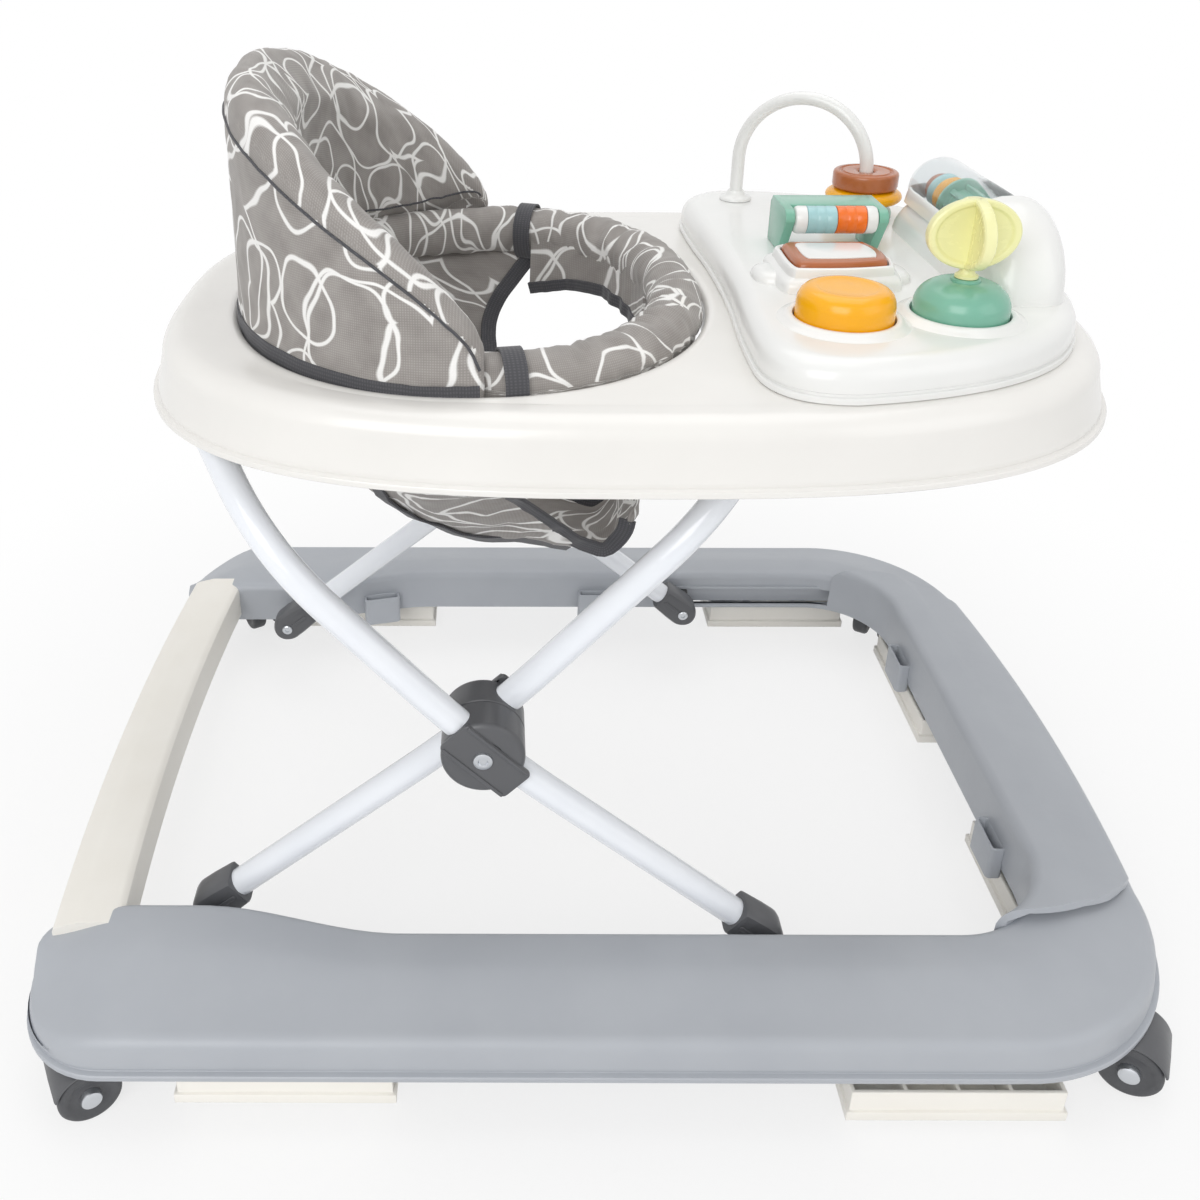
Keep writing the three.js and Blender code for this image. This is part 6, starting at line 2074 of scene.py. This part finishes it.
def woven_corners(piece: Piece, where: Callable[[Vector, Vector], Plan]) -> Piece:
    """Writes the place of the cloth's threads at every face corner, by the panel that the face lies in.

    Args:
        piece: the sewn piece.
        where: gives millimetres along and across the cloth from a point and its face's middle.

    Returns:
        The same piece.
    """
    layer = piece.data.attributes.new("weave", "FLOAT_VECTOR", "CORNER")
    for face in piece.data.polygons:
        middle = face.center
        for loop in face.loop_indices:
            point = piece.data.vertices[piece.data.loops[loop].vertex_index].co
            u, v = where(point, middle)
            layer.data[loop].vector = (u * MM, v * MM, 0)
    return piece


def column_of(sheet: Piece, column: int) -> list[Vector]:
    """The vertices of a lofted sheet at one place in every row, from the first row to the last.

    Args:
        sheet: the sheet.
        column: the place in each row.

    Returns:
        The points, in metres.
    """
    place, station = (sheet.data.attributes[key].data for key in ("place", "station"))
    found = {station[i].value: v.co.copy() for i, v in enumerate(sheet.data.vertices) if place[i].value == column}
    return [found[row] for row in sorted(found)]


def on_surface(piece: Piece, points: Sequence[Vector], lift: float) -> list[Vector]:
    """The nearest points of a piece's surface, lifted off it by a distance in millimetres.

    Args:
        piece: the mesh object.
        points: the points to move, in metres.
        lift: the distance.

    Returns:
        The moved points.
    """
    out = []
    for point in points:
        found, at, normal, _ = piece.closest_point_on_mesh(point)
        out.append(at + normal * lift * MM if found else point)
    return out


def trim(name: str, points: Sequence[Vector], width: float, thick: float, facing: Sequence[Vector]) -> Piece:
    """Builds and dresses a flat tape along a path, turned to face given directions.

    Args:
        name: the tape's name.
        points: its centre line, in metres.
        width: its width, in millimetres.
        thick: its thickness, in millimetres.
        facing: the direction that its face looks in at each point.

    Returns:
        The tape with its thread coordinates.
    """
    half = [(-1, -0.3), (-0.96, -1), (-0.5, -1), (0, -1), (0.5, -1), (0.96, -1), (1, -0.3)]
    section = half + [(-a, -b) for a, b in half]
    rings = []
    for i, (point, face) in enumerate(zip(points, facing)):
        ahead = (points[min(i + 1, len(points) - 1)] - points[max(i - 1, 0)]).normalized()
        up = (face - ahead * face.dot(ahead)).normalized()
        side = ahead.cross(up)
        rings.append([point + side * a * width / 2 * MM + up * b * thick / 2 * MM for a, b in section])
    runs = run_lengths(points)
    steps = len(half) - 1
    tape = laid_by_row(loft(name, rings), lambda place, row: (
        runs[min(row, len(runs) - 1)], place % len(half) / steps * width * MM))
    return dress(smoothed(tape, 50), TAPE, "tray")


def piping(name: str, points: Sequence[Vector], radius: float) -> Piece:
    """Builds and dresses a thin round cord along a seam."""
    cord = laid(swept(name, points, radius, 8), lambda co: (co.x + co.z, co.y, 0))
    return dress(smoothed(cord, 60), TAPE, "tray")


@dataclass
class Seat:
    """Back pad, ring sleeve, bucket and their trims. Millimetres."""

    pad_inset: float = 17.8
    ring_inset: float = 18.8
    ring_level: float = 431
    end_angle: float = 0.475 * pi
    low: float = 420
    half_thick: float = 15
    rows: int = 110
    columns: int = 60

    def on_oval(self, inset: float, angle: float) -> Vector:
        """A point of the opening's oval, drawn in by the inset."""
        return Vector(OPENING.at(inset, angle))

    def outward(self, inset: float, angle: float) -> Vector:
        """The direction out of the opening at an angle."""
        return (self.on_oval(inset - 1, angle) - self.on_oval(inset, angle)).normalized()

    def beside(self, inset: float, angle: float, out: float, z: float) -> Vector:
        """A point a distance outside the drawn-in oval and at a height, in metres."""
        at, way = self.on_oval(inset, angle), self.outward(inset, angle)
        return mm(at.x + way.x * out, at.y + way.y * out, z)

    def pad_angle(self, share: float) -> float:
        """Angle round the opening at a share of the way from the back to an end of the pad."""
        return pi + share * (pi - self.end_angle)

    def pad_top(self, share: float) -> float:
        """Height of the pad's crown, which falls towards both ends."""
        return 448 + 141 * max(cos(share * pi / 2), 0) ** 0.64

    def pad_seam(self, share: float) -> float:
        """Height of the outer seam, which lies under the crown."""
        return self.pad_top(share) - 13 - 15 * (1 - share * share)

    def pad_hem(self, share: float) -> float:
        """Height of the inner panel's hem, which stays under the crown at both ends."""
        return min(450 + 2 * abs(share), self.pad_top(share) - 15)

    def build_pad(self) -> Piece:
        """The wrap-round back pad, lofted a little small and then inflated.

        Returns:
            The pad, with its thread coordinates.
        """
        rings = []
        for share in spread_over(-1, 1, 73):
            share = copysign(min(abs(share), 0.996), share)
            angle = self.pad_angle(share)
            at, out = self.on_oval(self.pad_inset, angle), self.outward(self.pad_inset, angle)
            ends = sqrt(max(1 - abs(share) ** 9, 0)) * 0.75 + 0.25
            half = self.half_thick * ends
            top, seam = self.pad_top(share) - 1.5, self.pad_seam(share)
            hem = self.pad_hem(share)
            roll = 0.5 * (top - seam)
            section = [(14.5, self.low), (14.5, self.low + 25), (14.5 * ends, (self.low + seam) / 2)]
            section += [(half + 0.5, seam), (half * 0.96, seam + roll * 0.9), (half * 0.62, top - roll * 0.35)]
            section += [(0, top), (-half * 0.62, top - roll * 0.3), (-half, top - roll * 1.1)]
            section += [(-half * 1.16, top - roll * 2.2), (-half * 0.95, max(top - roll * 3.8, hem + 6))]
            section += [(-half * 0.8, hem + 3), (-half * 0.5, hem), (0, hem - 3), (3, self.low + 10), (6, self.low)]
            lean = 3.2 * max(cos(share * pi / 2), 0)
            ring = []
            for across, z in section:
                back = out * across
                ring.append(mm(at.x + back.x + lean * (z - self.low) / 160, at.y + back.y, z))
            rings.append(ring)
        return woven_corners(crumpled(inflated(loft("back_pad", rings), 6), 0.9, 26), self.pad_weave)

    def pad_place(self, point: Vector) -> Place:
        """Place of a point of the pad.

        Args:
            point: the point, in metres.

        Returns:
            The share of the way to an end, millimetres outwards, and height.
        """
        x, y, z = point / MM
        power = OPENING.power / 2
        c = (x - OPENING.middle) / (OPENING.half_x - self.pad_inset)
        s = y / (OPENING.half_y - self.pad_inset)
        turn = atan2(copysign(abs(s) ** power, s), copysign(abs(c) ** power, c)) % (2 * pi)
        share = (turn - pi) / (pi - self.end_angle)
        at, out = self.on_oval(self.pad_inset, turn), self.outward(self.pad_inset, turn)
        return share, (Vector((x, y)) - at).dot(out), z

    def pad_weave(self, point: Vector, middle: Vector) -> Plan:
        """Place on the cloth: the outer panel runs level, the roll and inner panel run over the crown.

        Args:
            point: the face corner, in metres.
            middle: its face's middle, in metres.

        Returns:
            Millimetres along and across the cloth.
        """
        share, across, z = self.pad_place(point)
        middle_share, middle_across, middle_z = self.pad_place(middle)
        along = share * 262
        if middle_across > 4 and middle_z < self.pad_seam(middle_share):
            return along, z
        # Radius of the roll and place of its inner edge on the cloth
        roll, edge = 17, 700
        centre = self.pad_top(share) - roll
        if z > centre:
            over = edge - roll * atan2(z - centre, -across)
        elif across > 0:
            over = edge - roll * pi + (centre - z)
        else:
            over = edge + (centre - z)
        return along * 0.94 + 31, over

    def gathers(self, angle: float, turn: float) -> float:
        """How far the gathered sleeve swells at a place.

        The gathers run round the tube, deepest where the sleeve bends round the front corners.

        Args:
            angle: the way round the opening, in radians.
            turn: the way round the tube.

        Returns:
            The swelling, in millimetres.
        """
        bend = 0.35 + 0.9 * exp(-(((abs(angle) - 0.62) / 0.5) ** 2))
        pleat = noise.noise(Vector((angle * 11, turn * 0.55, 3.1)))
        fine = noise.noise(Vector((angle * 27, turn * 0.9, 7.7)))
        return bend * ((1 - abs(pleat) * 2.6) * 2.1 + fine * 1.1)

    def build_ring(self) -> Piece:
        """The gathered padded sleeve round the opening, with its inner side drawn down.

        Returns:
            The sleeve, with its thread coordinates.
        """
        rings = []
        count = 240
        for i in range(count + 1):
            angle = (2 * i / count - 1) * 0.74 * pi
            end = blended((abs(angle) - 0.44 * pi) / 0.3)
            inset, squeeze = self.ring_inset + 9 * end, 1 - 0.35 * end
            ring = []
            for turn in (2 * pi * j / 36 for j in range(36)):
                swell = self.gathers(angle, turn)
                across = (16.4 * squeeze + swell) * cos(turn)
                up = (15.4 + swell) * sin(turn)
                if sin(turn) < 0 and cos(turn) < 0.3:
                    up *= 1.25
                ring.append(self.beside(inset, angle, across, self.ring_level + up))
            rings.append(ring)
        turns = [-pi + 2 * pi * i / 360 for i in range(361)]
        runs = run_lengths([self.on_oval(self.ring_inset, turn) for turn in turns])

        def where(co: Vector) -> Place:
            """Place on the cloth: its length along the oval and its way round the tube.

            Args:
                co: the point, in metres.

            Returns:
                Metres along and across the cloth, and zero.
            """
            x, y, z = co / MM
            angle = atan2(y / (OPENING.half_y - 18), (x - OPENING.middle) / (OPENING.half_x - 18))
            at, out = self.on_oval(self.ring_inset, angle), self.outward(self.ring_inset, angle)
            turn = atan2(z - self.ring_level, (Vector((x, y)) - at).dot(out))
            place = (angle + pi) / (2 * pi) * 360
            low = min(max(int(place), 0), 359)
            along = runs[low] + (runs[low + 1] - runs[low]) * (place - low)
            return (along * 1.25 * MM, (turn % (2 * pi)) * 17 * MM + 0.9, 0)

        return laid(loft("ring_sleeve", rings), where)

    def bucket_line(self, u: float) -> list[Vector]:
        """One line of the bucket from the rear of the opening, under the child, to the front.

        Args:
            u: 0 in the middle, 1 at the far edge, -1 at the near edge.

        Returns:
            The points that the line passes, in metres.
        """
        side = copysign(1, u)
        u = abs(u)
        bow, fore = sin(u * pi / 2), 1 - cos(u * pi / 2)
        middle = [(-199, 356), (-170, 306), (-140, 279), (-104, 261), (-62, 255), (-22, 248),
                  (2, 246), (14, 268), (23, 313), (31, 361), (40, 412)]
        edge = [(-78, 128, 372), (-80, 100, 345), (-72, 76, 322), (-57, 58, 300), (-38, 45, 279), (-16, 36, 258),
                (4, 34, 254), (17, 38, 276), (24, 48, 320), (29, 60, 366), (34, 74, 412)]
        top = self.on_oval(19, pi - u * 0.61 * pi)
        points = [Vector((top.x, top.y * side, 419))]
        for (mx, mz), (ex, ey, ez) in zip(middle, edge):
            points.append(Vector((mx + (ex - mx) * fore, ey * bow * side, mz + (ez - mz) * fore**1.3)))
        return [p * MM for p in points]

    def build_bucket(self) -> tuple[Piece, list[list[Vector]]]:
        """The hung cloth bucket, one continuous sheet with two leg openings at its sides.

        Returns:
            The bucket, and its near and far edges as lines.
        """
        half = self.columns // 2
        shares = [(i - half) / half or 1e-6 for i in range(self.columns + 1)]
        columns = [spline(self.bucket_line(share), self.rows) for share in shares]
        rings = [list(row) for row in zip(*columns)]
        runs = [run_lengths(column) for column in columns]
        widths = [run_lengths(row) for row in rings]
        sheet = laid_by_row(open_loft("seat_bucket", rings), lambda place, row: (
            widths[row][place] - widths[row][half] + 1.3, runs[place][row] + 0.4))
        crumpled(crumpled(sheet, 3.4, 38, 5), 1.2, 15, 9)
        edges = [column_of(sheet, column) for column in (0, self.columns)]
        return apply(sheet, "SOLIDIFY", thickness=1.4 * MM, offset=0), edges

    def build_skirt(self, side: Side) -> tuple[Piece, Ring]:
        """The sleeve's inner side, a flap of cloth that hangs under the ring beside a leg opening.

        Args:
            side: near or far.

        Returns:
            The flap, and its lower edge as a line.
        """
        rows = []
        for drop in (i / 8 for i in range(9)):
            row = []
            for share in (j / 60 for j in range(61)):
                angle = side.value * pi * (0.39 - 0.36 * share)
                wave = 1.6 * noise.noise(Vector((angle * 7, drop, 2)))
                wave += 2 * drop * noise.noise(Vector((angle * 15, 0, 4)))
                low = 388 + 10 * sin(pi * share) + 6 * share
                z = self.ring_level + (low - self.ring_level) * drop
                row.append(self.beside(self.ring_inset + 15 + 2 * drop, angle, wave, z))
            rows.append(row)
        flap = open_loft(f"leg_flap_{side.word}", rows)
        laid(flap, lambda co: (co.x * 1.1 + 0.2, co.z * 1.0 + co.y * 0.6, 0))
        return apply(flap, "SOLIDIFY", thickness=2.2 * MM, offset=0), rows[-1]

    def build_loop(self, side: Side, angle: float) -> None:
        """Builds a webbing loop round the ring sleeve.

        Args:
            side: near or far.
            angle: its place round the opening, in radians.
        """
        angle *= side.value
        out = self.outward(self.ring_inset, angle)
        points, facing = [], []
        for turn in (2 * pi * i / 33 for i in range(33)):
            c, s = cos(turn), sin(turn)
            low = 1.3 if s < 0 and c < 0.3 else 1.0
            points.append(self.beside(self.ring_inset, angle, 19.2 * c, self.ring_level + 18.0 * s * low))
            facing.append(Vector((out.x * c, out.y * c, s)))
        trim(f"webbing_loop_{side.word}", [*points, points[0]], 13, 1.6, [*facing, facing[0]])

    def build_back(self) -> None:
        """Builds the back pad, the piping of its seam and hem, and the binding round its foot."""
        pad = self.build_pad()
        seam_line, hem_line = [], []
        for share in spread_over(-0.985, 0.985, 150):
            angle = self.pad_angle(share)
            seam_line.append(self.beside(self.pad_inset, angle, 19, self.pad_seam(share)))
            hem_line.append(self.beside(self.pad_inset, angle, -19, self.pad_hem(share) + 2))
        dress(smoothed(pad, 60), CLOTH, "tray", "seat_backrest")
        piping("pad_piping", on_surface(pad, seam_line, 0.3), 0.9)
        piping("pad_hem", on_surface(pad, hem_line, 0.2), 0.8)
        path, facing = [], []
        for share in spread_over(-0.5, 0.97, 84):
            angle = self.pad_angle(share)
            path.append(self.beside(self.pad_inset, angle, 17.2, 429))
            facing.append(self.outward(self.pad_inset, angle).to_3d())
        trim("pad_binding", on_surface(pad, path, 0.7), 17, 1.4, facing)

    def build_sling(self) -> None:
        """Builds the bucket with its leg bindings and strap."""
        bucket, edges = self.build_bucket()
        dress(smoothed(bucket, 60), CLOTH, "tray", "seat_sling")
        for side, line in zip(Side, edges):
            facing = [Vector((0.3, -side.value, 0.3))] * len(line)
            trim(f"leg_binding_{side.word}", line[:74], 12, 3.2, facing[:74])
        away = Vector((-0.7, -0.7, -0.4))
        strap_line = [point + away.normalized() * 5 * MM for point in self.bucket_line(-0.5)[:7]]
        strap_path = on_surface(bucket, spline(strap_line, 50), 0.9)
        trim("bucket_strap", strap_path, 14, 1.6, [away] * len(strap_path))

    def build(self) -> None:
        self.build_back()
        sleeve = dress(smoothed(self.build_ring(), 70), CLOTH, "tray", "seat_ring_pad")
        self.build_sling()
        for side in Side:
            flap, hem = self.build_skirt(side)
            dress(smoothed(flap, 60), CLOTH, "tray")
            face = [Vector((p.x / MM - OPENING.middle, p.y / MM, 0)).normalized() for p in hem]
            edging = trim(f"flap_binding_{side.word}", hem, 9, 4, face)
            self.build_loop(side, (0.45 if side is Side.NEAR else 0.41) * pi)


# ---- studio


@dataclass
class Studio:
    """Floor, light and camera of a plain product photo."""

    eye: Place = (-0.0766, -0.7569, 0.6873)
    tilt: float = 65.4
    pan: float = 0.2
    lens: float = 35.81
    shift_x: float = 0.0913
    shift_y: float = -0.1558

    def build_floor(self) -> None:
        """A large pale floor that turns pure white away from the walker for the camera."""
        bpy.ops.mesh.primitive_grid_add(x_subdivisions=16, y_subdivisions=16, size=16)
        floor = bpy.context.object
        floor.name = "studio_floor"
        material = Finish("matt white vinyl backdrop", "backdrop", "F4F4F4").material()
        tree = material.node_tree
        shader = tree.nodes["Principled BSDF"]
        where = add(tree, "TexCoord").outputs["Object"]
        # Vinyl's fine pebble, some 2 mm across
        pebble = bumped(tree, noisy(tree, where, 2, 2.0), 0.15, 0.2)
        feed(tree, shader, {"Normal": pebble, "Roughness": 0.42})
        away = add(tree, "VectorMath", {0: where}, operation="LENGTH").outputs["Value"]
        fade = ramp(tree, away, 0.74, 1.0, 0.34, 0.8, interpolation_type="SMOOTHSTEP")
        seen = calculated(tree, "MULTIPLY", fade, self.seen_ray(tree))
        white = add(tree, "Emission", {"Color": (1.0, 1.0, 1.0, 1.0), "Strength": 1.0}).outputs[0]
        mix = add(tree, "MixShader", {0: seen, 1: shader.outputs[0], 2: white}).outputs[0]
        feed(tree, tree.nodes["Material Output"], {"Surface": mix})
        floor.data.materials.append(material)

    def seen_ray(self, tree: Tree) -> Socket:
        """One for a ray that the camera, a mirror or clear plastic sends, else zero.

        Args:
            tree: the node tree.

        Returns:
            The output.
        """
        path = add(tree, "LightPath")
        rays = path.outputs["Is Camera Ray"]
        for kind in ("Is Glossy Ray", "Is Transmission Ray"):
            rays = calculated(tree, "MAXIMUM", rays, path.outputs[kind])
        return rays

    def build_lights(self) -> None:
        """A large soft key from the near left, a weak fill from the near right, and a broad light above."""
        for name, place, size, energy in (
            ("key", (-1.0, -2.3, 1.7), 1.8, 32),
            ("fill", (1.9, -1.6, 1.5), 1.8, 8),
            ("top", (0.1, 0.6, 2.6), 2.2, 19),
        ):
            bpy.ops.object.light_add(type="AREA", location=place)
            lamp = bpy.context.object
            lamp.name = f"{name}_light"
            lamp.data.size = size
            lamp.data.energy = energy
            aim = Vector((0, 0, 0.3)) - Vector(place)
            lamp.rotation_euler = aim.to_track_quat("-Z", "Y").to_euler()

    def build_world(self) -> None:
        """White for what the camera and polished surfaces see, softer for the light it gives."""
        world = bpy.data.worlds.new("studio")
        bpy.context.scene.world = world
        world.use_nodes = True
        tree = world.node_tree
        strength = ramp(tree, self.seen_ray(tree), 0.52, 1.0)
        feed(tree, tree.nodes["Background"], {"Color": (1.0, 1.0, 1.0, 1.0), "Strength": strength})

    def build_camera(self) -> None:
        """The camera at the photo's angle."""
        bpy.ops.object.camera_add(location=self.eye)
        camera = bpy.context.object
        camera.rotation_euler = (radians(self.tilt), 0, radians(self.pan))
        camera.data.sensor_width = 36
        camera.data.lens = self.lens
        camera.data.shift_x = self.shift_x
        camera.data.shift_y = self.shift_y
        camera.data.dof.use_dof = False
        scene = bpy.context.scene
        scene.camera = camera
        scene.render.resolution_x = 1200
        scene.render.resolution_y = 1200
        scene.view_settings.view_transform = "Standard"

    def build(self) -> None:
        """Builds the whole studio."""
        self.build_floor()
        self.build_lights()
        self.build_world()
        self.build_camera()


def main() -> None:
    """Builds every sub-assembly of the walker and the studio round it."""
    logging.basicConfig(level=logging.INFO, format="%(relativeCreated)7.0f ms %(message)s")
    Studio().build()
    Base().build()
    Casters().build()
    CrossFrame().build()
    Tray().build()
    ToyTray().build()
    Seat().build()


if __name__ == "__main__":
    main()
